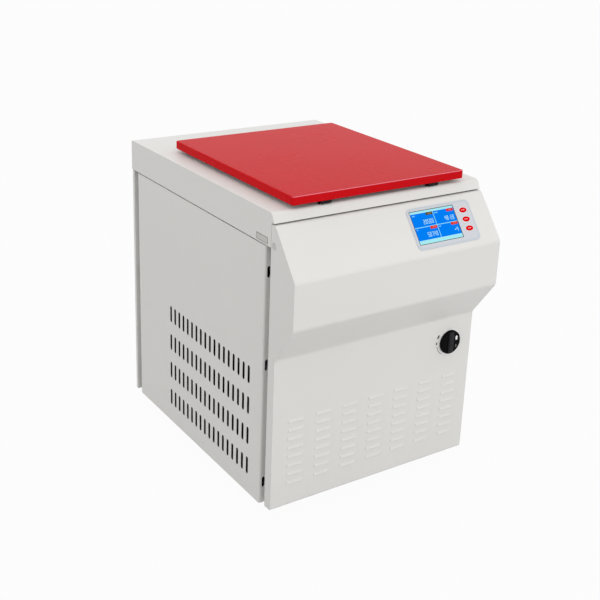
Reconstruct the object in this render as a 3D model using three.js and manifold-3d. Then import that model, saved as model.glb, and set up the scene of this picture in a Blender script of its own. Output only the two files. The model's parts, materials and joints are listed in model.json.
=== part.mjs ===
import * as THREE from "three";
import { mergeVertices } from "three/addons/utils/BufferGeometryUtils.js";
import Module from "manifold-3d";

// Refrigerated floor-standing centrifuge. Millimetres, +Z up, front towards -Y.
// The object stands on Z = 0, centred in X and Y.
// Cabinet frame: origin at mid width, on the plane of the lower front panel, at the panels' bottom edge.

const wasm = await Module();
wasm.setup();

// Overall sizes
const cabinetWidth = 620;
const cabinetDepth = 772;
const deckHeight = 772;
const hoodReach = 74;
const footHeight = 34;
const glandReach = 22;

// Clearances shared by all pieces
const seatGap = 0.3;
const turnGap = 0.4;
const cutOverrun = 3;
const weldTolerance = 1e-4;

// Sheet metal
const panelSheet = 2;
const deckSheet = 3;
const bendRadius = 6;
const bendSteps = 3;

// Edge counts of round bodies
const wideEdges = 32;
const middleEdges = 24;
const smallEdges = 16;
const boltEdges = 12;
const slotEndEdges = 3;

const halfWidth = cabinetWidth / 2;
const overallDepth = hoodReach + cabinetDepth + glandReach;
const frontPlaneY = hoodReach - overallDepth / 2;
const sides = { left: -1, right: 1 };

// Basic solids

function solidFrom(geometry) {
  const bare = new THREE.BufferGeometry();
  bare.setAttribute("position", geometry.getAttribute("position"));
  bare.setIndex(geometry.index);
  const merged = mergeVertices(bare, weldTolerance);
  const corners = merged.index.array;
  const kept = [];
  for (let i = 0; i < corners.length; i += 3) {
    const [a, b, c] = corners.subarray(i, i + 3);
    if (a !== b && b !== c && c !== a) kept.push(a, b, c);
  }
  return new wasm.Manifold(
    new wasm.Mesh({
      numProp: 3,
      vertProperties: merged.attributes.position.array,
      triVerts: new Uint32Array(kept),
    }),
  );
}

function geometryOf(solid) {
  const mesh = solid.getMesh();
  const geometry = new THREE.BufferGeometry();
  geometry.setAttribute("position", new THREE.BufferAttribute(mesh.vertProperties, mesh.numProp));
  geometry.setIndex(new THREE.BufferAttribute(mesh.triVerts, 1));
  return geometry;
}

function placed(solid, matrix) {
  return solidFrom(geometryOf(solid).applyMatrix4(matrix));
}

function shifted(solid, x, y, z) {
  return placed(solid, new THREE.Matrix4().makeTranslation(x, y, z));
}

function mirrored(solid) {
  const geometry = geometryOf(solid).applyMatrix4(new THREE.Matrix4().makeScale(-1, 1, 1));
  const corners = geometry.index.array;
  for (let i = 0; i < corners.length; i += 3) [corners[i], corners[i + 1]] = [corners[i + 1], corners[i]];
  return solidFrom(geometry);
}

// A right-hand solid as it stands on the given side.
const handed = (solid, side) => (side > 0 ? solid : mirrored(solid));

function join(first, ...others) {
  return others.reduce((sum, solid) => sum.add(solid), first);
}

function cut(body, ...tools) {
  return tools.reduce((rest, tool) => rest.subtract(tool), body);
}

const sorted = (range) => [Math.min(...range), Math.max(...range)];

function box(xRange, yRange, zRange) {
  const [x0, x1] = sorted(xRange);
  const [y0, y1] = sorted(yRange);
  const [z0, z1] = sorted(zRange);
  const geometry = new THREE.BoxGeometry(x1 - x0, y1 - y0, z1 - z0);
  geometry.translate((x0 + x1) / 2, (y0 + y1) / 2, (z0 + z1) / 2);
  return solidFrom(geometry);
}

// A round bar along one axis; centre holds its place on the two other axes.
function bar(axis, radius, range, centre, edgeCount = smallEdges) {
  const [low, high] = sorted(range);
  const middle = (low + high) / 2;
  const [first, second] = centre;
  const geometry = new THREE.CylinderGeometry(radius, radius, high - low, edgeCount);
  if (axis === "x") geometry.rotateZ(Math.PI / 2).translate(middle, first, second);
  if (axis === "y") geometry.translate(first, middle, second);
  if (axis === "z") geometry.rotateX(Math.PI / 2).translate(first, second, middle);
  return solidFrom(geometry);
}

// A body turned about Z from a profile of [radius, height] points.
function turned(profile, edgeCount = middleEdges) {
  const points = profile.map(([radius, height]) => new THREE.Vector2(radius, height));
  const closesOnAxis = points[0].x === 0 && points.at(-1).x === 0;
  if (THREE.ShapeUtils.area(points) < 0) points.reverse();
  if (!closesOnAxis) points.push(points[0].clone());
  return solidFrom(new THREE.LatheGeometry(points, edgeCount).rotateX(Math.PI / 2));
}

const extrusionFrames = {
  x: [new THREE.Vector3(0, 1, 0), new THREE.Vector3(0, 0, 1), new THREE.Vector3(1, 0, 0)],
  y: [new THREE.Vector3(1, 0, 0), new THREE.Vector3(0, 0, 1), new THREE.Vector3(0, -1, 0)],
  z: [new THREE.Vector3(1, 0, 0), new THREE.Vector3(0, 1, 0), new THREE.Vector3(0, 0, 1)],
};

// An outline pushed along one axis. The outline lies in YZ for x, XZ for y and XY for z.
function prism(axis, outline, range, curveSegments = bendSteps) {
  const [low, high] = sorted(range);
  const [u, v, w] = extrusionFrames[axis];
  const start = axis === "y" ? high : low;
  const settings = { depth: high - low, bevelEnabled: false, curveSegments };
  const geometry = new THREE.ExtrudeGeometry(outline, settings);
  const frame = new THREE.Matrix4().makeBasis(u, v, w);
  frame.setPosition(axis === "x" ? start : 0, axis === "y" ? start : 0, axis === "z" ? start : 0);
  return solidFrom(geometry.applyMatrix4(frame));
}

// Outlines

const polygon = (points) => new THREE.Shape(points.map(([u, v]) => new THREE.Vector2(u, v)));

// A polygon whose corners are eased over the given length, one value for all corners or a list.
function eased(points, easing) {
  const shape = new THREE.Shape();
  points.forEach((point, i) => {
    const corner = new THREE.Vector2(...point);
    const before = new THREE.Vector2(...points.at(i - 1)).sub(corner);
    const after = new THREE.Vector2(...points[(i + 1) % points.length]).sub(corner);
    const wanted = Array.isArray(easing) ? easing[i] : easing;
    const length = Math.min(wanted, before.length() / 2, after.length() / 2);
    const from = corner.clone().addScaledVector(before.normalize(), length);
    const to = corner.clone().addScaledVector(after.normalize(), length);
    if (i === 0) shape.moveTo(from.x, from.y);
    else shape.lineTo(from.x, from.y);
    if (length > 0) shape.quadraticCurveTo(corner.x, corner.y, to.x, to.y);
  });
  return shape;
}

// The polygon with each side moved inwards by its own distance; the points run anticlockwise.
function inset(points, distances) {
  const edges = points.map((point, i) => {
    const start = new THREE.Vector2(...point);
    const run = new THREE.Vector2(...points[(i + 1) % points.length]).sub(start).normalize();
    const inward = new THREE.Vector2(-run.y, run.x);
    return { start: start.addScaledVector(inward, distances[i]), run };
  });
  return edges.map((edge, i) => {
    const last = edges.at(i - 1);
    const between = edge.start.clone().sub(last.start);
    const along = between.cross(edge.run) / last.run.cross(edge.run);
    const corner = last.start.clone().addScaledVector(last.run, along);
    return [corner.x, corner.y];
  });
}

const rectangle = ([u0, u1], [v0, v1]) => [[u0, v0], [u1, v0], [u1, v1], [u0, v1]];

// A slot with round ends, upright when it is taller than wide.
function slotOutline(u, v, width, height) {
  const radius = Math.min(width, height) / 2;
  const du = width / 2 - radius;
  const dv = height / 2 - radius;
  const firstTurn = dv > 0 ? 0 : -Math.PI / 2;
  const points = [];
  for (const end of [1, -1]) {
    for (let i = 0; i <= slotEndEdges; i += 1) {
      const turn = firstTurn + (i * Math.PI) / slotEndEdges;
      points.push([u + end * (du + radius * Math.cos(turn)), v + end * (dv + radius * Math.sin(turn))]);
    }
  }
  return polygon(points);
}

function ovalOutline(u, v, width, height) {
  return new THREE.Shape().absellipse(u, v, width / 2, height / 2, 0, 2 * Math.PI);
}

// Evenly spaced places about a middle.
function spread(count, pitch, middle = 0) {
  return Array.from({ length: count }, (_, i) => middle + (i - (count - 1) / 2) * pitch);
}

function finish(color, roughness, metalness) {
  return new THREE.MeshStandardMaterial({ color, roughness, metalness });
}

const cabinetPaint = finish(0xd8d7d3, 0.55, 0);
const lidPaint = finish(0xc3161c, 0.3, 0);
const frameSteel = finish(0x8d9196, 0.5, 0.6);
const stainless = finish(0xc4c7c9, 0.28, 1);
const copper = finish(0xb87350, 0.35, 1);
const castAluminium = finish(0xa9adb1, 0.45, 0.9);
const anodised = finish(0x9aa3ab, 0.35, 0.9);
const blackPlastic = finish(0x17181a, 0.5, 0);
const blackEnamel = finish(0x1d1e20, 0.35, 0.2);
const rubber = finish(0x232323, 0.85, 0);
const foam = finish(0xd9c88a, 0.95, 0);
const membraneFilm = finish(0xd6dadf, 0.45, 0);
const screenGlass = finish(0x0a7dff, 0.15, 0);
const buttonRed = finish(0xf00a1e, 0.4, 0);
const circuitGreen = finish(0x1f6b3c, 0.5, 0);
const plugGrey = finish(0xb4b2ae, 0.6, 0);
const zincPlate = finish(0xb9bcc0, 0.4, 0.9);

const machine = new THREE.Group();
const cabinet = new THREE.Group();
cabinet.position.set(0, frontPlaneY, footHeight);
machine.add(cabinet);

function addPiece(group, name, solid, material) {
  const mesh = new THREE.Mesh(geometryOf(solid), material);
  mesh.name = name;
  group.add(mesh);
  return mesh;
}

function addGroup(parent, x, y, z) {
  const group = new THREE.Group();
  group.position.set(x, y, z);
  parent.add(group);
  return group;
}

// Chassis: base plate, side frames, feet
const basePlateLift = 3;
const basePlateSheet = 4;
const baseUpstand = 25;
const frontCheekDepth = 27.5;
const rearCheekDepth = 15;
const postInset = 25;
const postWidth = 20;
const postDepth = 48;
const postNotch = 4;
const postNotchHeight = 9;
const frameSheet = 2.5;
const railHeight = 24;
const deckUnderside = deckHeight - deckSheet;
const basePlateTop = basePlateLift + basePlateSheet;
const postOuterX = halfWidth - postInset;
const postInnerX = postOuterX - postWidth;
const frameFrontY = frontCheekDepth + seatGap;
const frameRearY = cabinetDepth - rearCheekDepth - seatGap;

const upstandX = postInnerX - seatGap;
const basePlate = join(
  box([-postOuterX, postOuterX], [frameFrontY, frameRearY], [basePlateLift, basePlateTop]),
  ...Object.values(sides).map((side) =>
    handed(
      box(
        [upstandX - frameSheet, upstandX],
        [frameFrontY, frameRearY],
        [basePlateLift, basePlateTop + baseUpstand],
      ),
      side,
    ),
  ),
);
addPiece(cabinet, "base_plate", basePlate, frameSteel);

const footRadius = 28;
const footPadHeight = 20;
const footPadEdge = 4;
const footStemRadius = 9;
const footNutRadius = 16;
const footNutHeight = 9;
const footInsetX = 80;
const footInsetY = 90;

const footTop = footHeight + basePlateLift - seatGap;
const footProfile = [
  [0, 0],
  [footRadius - footPadEdge, 0],
  [footRadius, footPadEdge],
  [footRadius, footPadHeight - footPadEdge],
  [footStemRadius, footPadHeight],
  [footStemRadius, footTop - footNutHeight],
  [footNutRadius, footTop - footNutHeight],
  [footNutRadius, footTop],
  [0, footTop],
];
const footRows = { front: footInsetY, rear: cabinetDepth - footInsetY };
for (const [row, y] of Object.entries(footRows)) {
  for (const [hand, side] of Object.entries(sides)) {
    const spot = addGroup(cabinet, side * (halfWidth - footInsetX), y, -footHeight);
    addPiece(spot, `foot_${row}_${hand}`, turned(footProfile, smallEdges), rubber);
  }
}

// Chamber place, shared by the deck, the bowl and all that stands round it
const chamberSideRoom = 105;
const chamberFrontRoom = 110;
const chamberDepth = 250;
const chamberBaseHeight = 82;
const deckOpeningInset = 2;
const motorDeckSheet = 6;
const chamberRadius = halfWidth - chamberSideRoom;
const chamberY = chamberFrontRoom + chamberRadius;
const deckOpeningRadius = chamberRadius - deckOpeningInset;
const chamberFloorZ = deckHeight - chamberDepth;
const motorDeckLevel = chamberFloorZ - chamberBaseHeight;
const motorDeckTop = motorDeckLevel + motorDeckSheet;

// Lid place and hinge, shared by the deck slots, the brackets, the struts and the lid
const lidSideInset = 52.5;
const lidMargins = 170;
const lidThickness = 21.6;
const lidLift = 9.2;
const lidFrontY = 25.2;
const lidSheet = 2;
const hingeSetback = 9;
const hingeRise = 13;
const hingePinRadius = 4;
const knuckleRadius = 8;
const knuckleWidth = 24;
const knuckleInset = 41.5;
const lidWidth = cabinetWidth - 2 * lidSideInset;
const lidDepth = 2 * chamberRadius + lidMargins;
const knuckleOuterX = lidWidth / 2 - knuckleInset;
const knuckleX = [knuckleOuterX - knuckleWidth, knuckleOuterX];
const hingeY = lidFrontY + lidDepth + hingeSetback;
const hingeZ = deckHeight + hingeRise;
const lidUnder = lidLift - hingeRise;
const lidTop = lidUnder + lidThickness;
const lidFront = -hingeSetback - lidDepth;

// Gas struts: pin places from the hinge axis, as [back, up]
const strutHeadPlace = [-60, -24];
const strutFootPlace = [-47, -260];
const strutEyeRadius = 8;
const strutEyeWidth = 8;
const lugSheet = 5;
const lugReach = 14;
const lugX = [knuckleX[1], knuckleX[1] + lugSheet];
const strutEyeX = [lugX[1] + seatGap, lugX[1] + seatGap + strutEyeWidth];
const strutX = (strutEyeX[0] + strutEyeX[1]) / 2;

// Side frames carry the deck, the motor deck and the foot pins of the struts
const strutBracketSheet = 5;
const strutBracketWidth = 36;
const strutBracketRise = 20;
const strutPinRadius = 5;

function sideFrame() {
  const channel = ([front, rear]) =>
    cut(
      box([postInnerX, postOuterX], [front, rear], [basePlateTop + seatGap, deckUnderside - seatGap]),
      box(
        [postInnerX - cutOverrun, postOuterX - frameSheet],
        [front + frameSheet, rear - frameSheet],
        [basePlateTop - cutOverrun, deckUnderside + cutOverrun],
      ),
    );
  const rail = (top, width) =>
    join(
      box([postOuterX - frameSheet, postOuterX], [frameFrontY, frameRearY], [top - railHeight, top]),
      box(
        [postOuterX - width, postOuterX],
        [frameFrontY + frameSheet, frameRearY - frameSheet],
        [top - frameSheet, top],
      ),
    );
  const pinY = hingeY + strutFootPlace[0];
  const pinZ = hingeZ + strutFootPlace[1];
  const midRailTop = motorDeckLevel - seatGap;
  const bracket = join(
    box(
      [postInnerX, postInnerX + strutBracketSheet],
      [pinY - strutBracketWidth / 2, pinY + strutBracketWidth / 2],
      [midRailTop - frameSheet, pinZ + strutBracketRise],
    ),
    bar("x", strutPinRadius, [strutEyeX[0], postInnerX + frameSheet], [pinY, pinZ]),
  );
  const frame = join(
    channel([frameFrontY, frameFrontY + postDepth]),
    channel([frameRearY - postDepth, frameRearY]),
    rail(deckUnderside - seatGap, postWidth),
    rail(midRailTop, 2 * postWidth),
    bracket,
  );
  const lipNotch = box(
    [postInnerX - cutOverrun, postOuterX + cutOverrun],
    [frameFrontY - cutOverrun, frameFrontY + postNotch],
    [deckUnderside - postNotchHeight, deckUnderside + cutOverrun],
  );
  return cut(frame, lipNotch);
}
for (const [hand, side] of Object.entries(sides)) {
  addPiece(cabinet, `side_frame_${hand}`, handed(sideFrame(), side), frameSteel);
}

// Front cover: cheeks, sloping control face, hood face, chamfer and louvred lower panel
const coverFootZ = 8;
const chamferRise = 101.5;
const hoodRise = 118.8;
const slopeRise = 109.7;
const slopeTopY = 11;
const lipDrop = 23.3;
const coverSeam = 3.2;
const slopeTopZ = deckHeight - lipDrop - coverSeam;
const slopeFootZ = slopeTopZ - slopeRise;
const hoodFootZ = slopeFootZ - hoodRise;
const chamferFootZ = hoodFootZ - chamferRise;

const louvreColumns = 7;
const louvreRows = 8;
const louvreSideInset = 67;
const louvreLength = 47;
const louvreHeight = 10;
const louvreReach = 3;
const louvreEndTaper = 3;
const louvreSheet = 1.2;
const louvreRowShare = 0.05872;
const louvreMiddleShare = 0.3875;
const louvreColumnPitch = (cabinetWidth - 2 * louvreSideInset) / (louvreColumns - 1);
const louvreRowPitch = louvreRowShare * chamferFootZ;
const louvreMiddleZ = louvreMiddleShare * chamferFootZ;

const coverOutline = [
  [frontCheekDepth, coverFootZ],
  [frontCheekDepth, slopeTopZ],
  [slopeTopY, slopeTopZ],
  [-hoodReach, slopeFootZ],
  [-hoodReach, hoodFootZ],
  [0, chamferFootZ],
  [0, coverFootZ],
];

// One pressed louvre over its throat: a hood that leans out downwards and slopes away at both ends.
function louvre() {
  const half = louvreLength / 2;
  const wedge = [[0, louvreHeight / 2], [-louvreReach, -louvreHeight / 2], [0, -louvreHeight / 2]];
  const endSlope = [
    [half + louvreEndTaper, louvreReach],
    [half - 2 * louvreEndTaper, -2 * louvreReach],
    [half + 2 * louvreEndTaper, -2 * louvreReach],
    [half + 2 * louvreEndTaper, louvreReach],
  ];
  const throat = [
    [panelSheet + cutOverrun, -louvreHeight / 2],
    [panelSheet + cutOverrun, louvreHeight / 2 - 2 * louvreSheet],
    [0, louvreHeight / 2 - 2 * louvreSheet],
    [louvreSheet - louvreReach, -louvreHeight / 2 - louvreSheet],
  ];
  const throatReach = half - louvreEndTaper - louvreSheet;
  const slope = prism("z", polygon(endSlope), [-louvreHeight, louvreHeight]);
  return {
    hood: cut(prism("x", polygon(wedge), [-half, half]), slope, mirrored(slope)),
    throat: prism("x", polygon(throat), [-throatReach, throatReach]),
  };
}

function louvreField() {
  const { hood, throat } = louvre();
  const hoods = [];
  const throats = [];
  for (const x of spread(louvreColumns, louvreColumnPitch)) {
    for (const z of spread(louvreRows, louvreRowPitch, louvreMiddleZ)) {
      hoods.push(shifted(hood, x, 0, z));
      throats.push(shifted(throat, x, 0, z));
    }
  }
  return { hoods, throats };
}

// Control face: local x to the right, y up the slope, z out of the face
const slopeRun = new THREE.Vector2(slopeTopY + hoodReach, slopeTopZ - slopeFootZ);
const controls = addGroup(cabinet, 0, slopeTopY - slopeRun.x / 2, slopeTopZ - slopeRun.y / 2);
controls.rotation.x = slopeRun.angle();
controls.updateMatrix();

const screenWidth = 139.5;
const screenHeight = 86.5;
const screenOffset = 22;
const screenY = 2.5;
const membraneWidth = 200.5;
const membraneHeight = 108;
const membraneSideInset = 57.05;
const membraneSheet = 0.8;
const membraneCorner = 14;
const membraneCornerSteps = 8;
const buttonWidth = 23.4;
const buttonHeight = 13.2;
const buttonOffset = 74.7;
const buttonCount = 3;
const buttonPitch = 24.4;
const buttonMiddleY = 3;
const buttonGap = 0.4;
const buttonTravel = 1.2;
const buttonArcs = 8;
const membraneX = halfWidth - membraneSideInset - membraneWidth / 2;
const screenX = membraneX - screenOffset;
const buttonX = membraneX + buttonOffset;

const screenRange = (margin) => [
  [screenX - screenWidth / 2 - margin, screenX + screenWidth / 2 + margin],
  [screenY - screenHeight / 2 - margin, screenY + screenHeight / 2 + margin],
];
const buttonRows = spread(buttonCount, -buttonPitch, buttonMiddleY);

// A button's outline, widened all round by the margin.
function buttonOutline(y, margin) {
  return ovalOutline(buttonX, y, buttonWidth + 2 * margin, buttonHeight + 2 * margin);
}

function controlOpenings(range) {
  const buttonHoles = buttonRows.map((y) => prism("z", buttonOutline(y, buttonGap), range, buttonArcs));
  return [prism("z", polygon(rectangle(...screenRange(seatGap))), range), ...buttonHoles];
}

// Main switch and round plugs in the front cover
const switchSideInset = 77.3;
const switchDrop = 70.1;
const switchNeckRadius = 11;
const plugRadius = 9;
const plugY = 15;
const plugDrop = 49.5;
const switchX = halfWidth - switchSideInset;
const switchZ = chamferFootZ - switchDrop;
const plugZ = slopeTopZ - plugDrop;

function frontCover() {
  const outerX = [-halfWidth, halfWidth];
  const innerX = [panelSheet - halfWidth, halfWidth - panelSheet];
  const bends = [0, 0, bendRadius, bendRadius, bendRadius, bendRadius, bendRadius];
  const walls = coverOutline.map(() => panelSheet);
  walls[0] = -cutOverrun;
  // The outline runs anticlockwise once its first leg, the open back, goes upwards.
  const hollow = inset(coverOutline, walls);
  const returns = Object.values(sides).map((side) =>
    handed(
      box(
        [postInnerX + frameSheet, halfWidth - panelSheet / 2],
        [frontCheekDepth - panelSheet, frontCheekDepth],
        [coverFootZ, slopeTopZ],
      ),
      side,
    ),
  );
  const shell = join(
    cut(prism("x", eased(coverOutline, bends), outerX), prism("x", eased(hollow, bends), innerX)),
    ...returns,
  );
  const { hoods, throats } = louvreField();
  const face = controlOpenings([-panelSheet - cutOverrun, cutOverrun]);
  const plugHole = bar(
    "x",
    plugRadius + seatGap,
    [halfWidth - panelSheet - cutOverrun, halfWidth + cutOverrun],
    [plugY, plugZ],
  );
  return cut(
    join(shell, ...hoods),
    ...throats,
    ...face.map((opening) => placed(opening, controls.matrix)),
    plugHole,
    mirrored(plugHole),
    bar("y", switchNeckRadius + seatGap, [-cutOverrun, panelSheet + cutOverrun], [switchX, switchZ]),
  );
}
addPiece(cabinet, "front_cover", frontCover(), cabinetPaint);

// Round plugs: a flush head in the cheek and a snap collar behind it
const plugCollar = 1;
const plugCollarDepth = 2;
const plugBehind = halfWidth - panelSheet - seatGap;
const plug = join(
  bar("x", plugRadius, [plugBehind - plugCollarDepth, halfWidth], [plugY, plugZ]),
  bar("x", plugRadius + plugCollar, [plugBehind - plugCollarDepth, plugBehind], [plugY, plugZ]),
);
for (const [hand, side] of Object.entries(sides)) {
  addPiece(cabinet, `cover_plug_${hand}`, handed(plug, side), plugGrey);
}

// Side panels: folded sheet with four rows of upright slots and hook slots in both returns
const panelFrontY = 52.5;
const panelRearRoom = 36;
const panelTopGap = 3;
const skirtHeight = 83;
const panelFlange = 20;
const ventColumns = 18;
const ventRows = 4;
const ventColumnPitch = 24.65;
const ventRowPitch = 85;
const ventWidth = 10.4;
const ventHeight = 49;
const ventFirstY = 114.5;
const ventFirstZ = 77.5;
const hookSlotWidth = 9;
const hookSlotHeight = 30;
const hookSlotInset = 11.5;
const hookSlotFootRoom = 59;
const hookSlotHeadRoom = 66;
const hookSlotMiddleShare = 0.5554;
const panelRearY = cabinetDepth - panelRearRoom;
const panelTop = deckHeight - skirtHeight - panelTopGap;
const hookSlotLevels = [hookSlotFootRoom, hookSlotMiddleShare * panelTop, panelTop - hookSlotHeadRoom];

function sidePanel() {
  const outline = rectangle([postOuterX + seatGap, halfWidth], [panelFrontY, panelRearY]);
  const hollow = rectangle(
    [postOuterX - cutOverrun, halfWidth - panelSheet],
    [panelFrontY + panelSheet, panelRearY - panelSheet],
  );
  const bends = [0, bendRadius, bendRadius, 0];
  const shell = cut(
    prism("z", eased(outline, bends), [0, panelTop]),
    prism("z", eased(hollow, bends), [panelSheet, panelTop - panelSheet]),
  );
  const flangeWindow = box(
    [postOuterX - cutOverrun, halfWidth - panelFlange],
    [panelFrontY + panelFlange, panelRearY - panelFlange],
    [-cutOverrun, panelTop + cutOverrun],
  );
  const ventRun = (ventColumns - 1) * ventColumnPitch;
  const ventRise = (ventRows - 1) * ventRowPitch;
  const vents = spread(ventColumns, ventColumnPitch, ventFirstY + ventRun / 2).flatMap((y) =>
    spread(ventRows, ventRowPitch, ventFirstZ + ventRise / 2).map((z) =>
      prism("x", slotOutline(y, z, ventWidth, ventHeight), [
        halfWidth - panelSheet - cutOverrun,
        halfWidth + cutOverrun,
      ]),
    ),
  );
  const hookSlots = hookSlotLevels.map((z) =>
    prism("y", slotOutline(halfWidth - hookSlotInset, z, hookSlotWidth, hookSlotHeight), [
      panelFrontY - cutOverrun,
      panelRearY + cutOverrun,
    ]),
  );
  return cut(shell, flangeWindow, ...vents, ...hookSlots);
}
for (const [hand, side] of Object.entries(sides)) {
  addPiece(cabinet, `side_panel_${hand}`, handed(sidePanel(), side), cabinetPaint);
}

// Rear cover: tray with returns, air slots and the hole of the cord gland
const rearFootZ = 2.5;
const airSlotRows = 7;
const airSlotColumns = 2;
const airSlotLength = 170;
const airSlotHeight = 9;
const airSlotRowPitch = 30;
const airSlotColumnPitch = 220;
const airSlotMiddleZ = 400;
const glandSideInset = 100;
const glandZ = 62;
const glandNeckRadius = 11;
const glandX = glandSideInset - halfWidth;

function rearCover() {
  const rim = rectangle([-halfWidth, halfWidth], [cabinetDepth - rearCheekDepth, cabinetDepth]);
  const hollow = rectangle(
    [panelSheet - halfWidth, halfWidth - panelSheet],
    [cabinetDepth - rearCheekDepth + panelSheet, cabinetDepth - panelSheet],
  );
  const window = box(
    [-postInnerX - frameSheet, postInnerX + frameSheet],
    [cabinetDepth - rearCheekDepth - cutOverrun, cabinetDepth - rearCheekDepth / 2],
    [rearFootZ - cutOverrun, panelTop + cutOverrun],
  );
  const bends = [0, 0, bendRadius, bendRadius];
  const shell = cut(
    prism("z", eased(rim, bends), [rearFootZ, panelTop]),
    prism("z", eased(hollow, bends), [rearFootZ + panelSheet, panelTop - panelSheet]),
    window,
  );
  const through = [cabinetDepth - panelSheet - cutOverrun, cabinetDepth + cutOverrun];
  const airSlots = spread(airSlotColumns, airSlotColumnPitch).flatMap((x) =>
    spread(airSlotRows, airSlotRowPitch, airSlotMiddleZ).map((z) =>
      prism("y", slotOutline(x, z, airSlotLength, airSlotHeight), through),
    ),
  );
  return cut(shell, ...airSlots, bar("y", glandNeckRadius + seatGap, through, [glandX, glandZ]));
}
addPiece(cabinet, "rear_cover", rearCover(), cabinetPaint);

// Cord gland: dome nut outside, neck through the sheet and lock nut inside
const glandFlangeRadius = 17;
const glandFlange = 4;
const glandDomeRadius = 14;
const glandMouthRadius = 5;
const glandMouthDepth = 12;
const glandNut = 6;

function cordGland() {
  const back = -panelSheet - seatGap - glandNut;
  return turned([
    [0, back],
    [glandFlangeRadius, back],
    [glandFlangeRadius, back + glandNut],
    [glandNeckRadius, back + glandNut],
    [glandNeckRadius, seatGap],
    [glandFlangeRadius, seatGap],
    [glandFlangeRadius, glandFlange],
    [glandDomeRadius, glandFlange],
    [glandDomeRadius, glandReach - glandFlange],
    [(glandDomeRadius + glandMouthRadius) / 2, glandReach],
    [glandMouthRadius, glandReach],
    [glandMouthRadius, glandReach - glandMouthDepth],
    [0, glandReach - glandMouthDepth],
  ], smallEdges);
}
const glandSpot = addGroup(cabinet, glandX, cabinetDepth, glandZ);
glandSpot.rotation.x = -Math.PI / 2;
addPiece(glandSpot, "cord_gland", cordGland(), blackPlastic);

// Strikers on the lid and lock units under the deck: places from the cabinet's middle
const lockShare = 0.521;
const strikerWidth = 30;
const strikerDepth = 24;
const strikerSetback = 2;
const tongueWidth = 22;
const tongueSheet = 3;
const tongueDrop = 44;
const tongueSetback = 4;
const tongueClearance = 6;
const lockX = lockShare * halfWidth;
const strikerY = lidFrontY + strikerSetback + strikerDepth / 2;
const tongueY = strikerY + tongueSetback;

// Top cover: skirt, sloping front lip, chamber opening and slots for strikers and struts
const lipTopY = 29.4;
const lipFootY = 15.7;
const cheekSeam = 1.2;
const skirtFrontY = frontCheekDepth + cheekSeam;
const deckOutline = [
  [cabinetDepth, deckHeight - skirtHeight],
  [cabinetDepth, deckHeight],
  [lipTopY, deckHeight],
  [lipFootY, deckHeight - lipDrop],
  [skirtFrontY, deckHeight - lipDrop],
  [skirtFrontY, deckHeight - skirtHeight],
];
const lugSweep = Math.hypot(strutHeadPlace[0] - lugReach, strutHeadPlace[1] - lugReach);
const strutSlotMargin = 4;
const strutSlotRear = 15;

function topCover() {
  const outerX = [-halfWidth, halfWidth];
  const innerX = [deckSheet - halfWidth, halfWidth - deckSheet];
  const bends = [0, bendRadius, bendRadius, bendRadius / 2, 0, 0];
  const walls = [deckSheet, deckSheet, deckSheet, -cutOverrun, -cutOverrun, -cutOverrun];
  const hollow = inset(deckOutline, walls);
  hollow[4] = [hollow[3][0], hollow[5][1]];
  const shell = cut(
    prism("x", eased(deckOutline, bends), outerX),
    prism("x", polygon(hollow.filter((_, i) => i !== 5)), innerX),
  );
  const through = [deckUnderside - cutOverrun, deckHeight + cutOverrun];
  const tongueSlot = box(
    [lockX - tongueWidth / 2 - tongueClearance, lockX + tongueWidth / 2 + tongueClearance],
    [tongueY - tongueSheet / 2 - tongueClearance, tongueY + tongueSheet / 2 + tongueClearance],
    through,
  );
  const strutSlot = box(
    [lugX[0] - strutSlotMargin, strutEyeX[1] + strutSlotMargin],
    [hingeY - lugSweep - strutSlotMargin, hingeY - strutSlotRear],
    through,
  );
  return cut(
    shell,
    bar("z", deckOpeningRadius, through, [0, chamberY], 2 * middleEdges),
    tongueSlot,
    mirrored(tongueSlot),
    strutSlot,
    mirrored(strutSlot),
  );
}
addPiece(cabinet, "top_cover", topCover(), cabinetPaint);

// Controls on the slope
const moduleMargin = 6;
const moduleDepth = 10;
const screenProud = 0.6;
const boardSheet = 1.6;
const boardMargin = 4;
const buttonProud = 1.4;
const buttonFlange = 1.5;
const buttonDome = 0.8;
const tactWidth = 6;
const membraneBack = seatGap;
const membraneFace = membraneBack + membraneSheet;
const moduleBack = -panelSheet - seatGap - moduleDepth;
const buttonBack = -panelSheet - seatGap - buttonFlange;

const membraneOutline = rectangle(
  [membraneX - membraneWidth / 2, membraneX + membraneWidth / 2],
  [-membraneHeight / 2, membraneHeight / 2],
);
const membrane = cut(
  prism("z", eased(membraneOutline, membraneCorner), [membraneBack, membraneFace], membraneCornerSteps),
  ...controlOpenings([membraneBack - cutOverrun, membraneFace + cutOverrun]),
);
addPiece(controls, "control_membrane", membrane, membraneFilm);

const screen = join(
  box(...screenRange(0), [-panelSheet - moduleDepth / 2, screenProud]),
  box(...screenRange(moduleMargin), [moduleBack, -panelSheet - seatGap]),
);
addPiece(controls, "display_screen", screen, screenGlass);

const board = join(
  box(
    [screenX - screenWidth / 2, buttonX + buttonWidth / 2 + boardMargin],
    [screenY - screenHeight / 2, screenY + screenHeight / 2],
    [moduleBack - seatGap - boardSheet, moduleBack - seatGap],
  ),
  ...buttonRows.map((y) =>
    box(
      [buttonX - tactWidth / 2, buttonX + tactWidth / 2],
      [y - tactWidth / 2, y + tactWidth / 2],
      [moduleBack - seatGap - boardSheet, buttonBack - buttonTravel - seatGap],
    ),
  ),
);
addPiece(controls, "control_board", board, circuitGreen);

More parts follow.
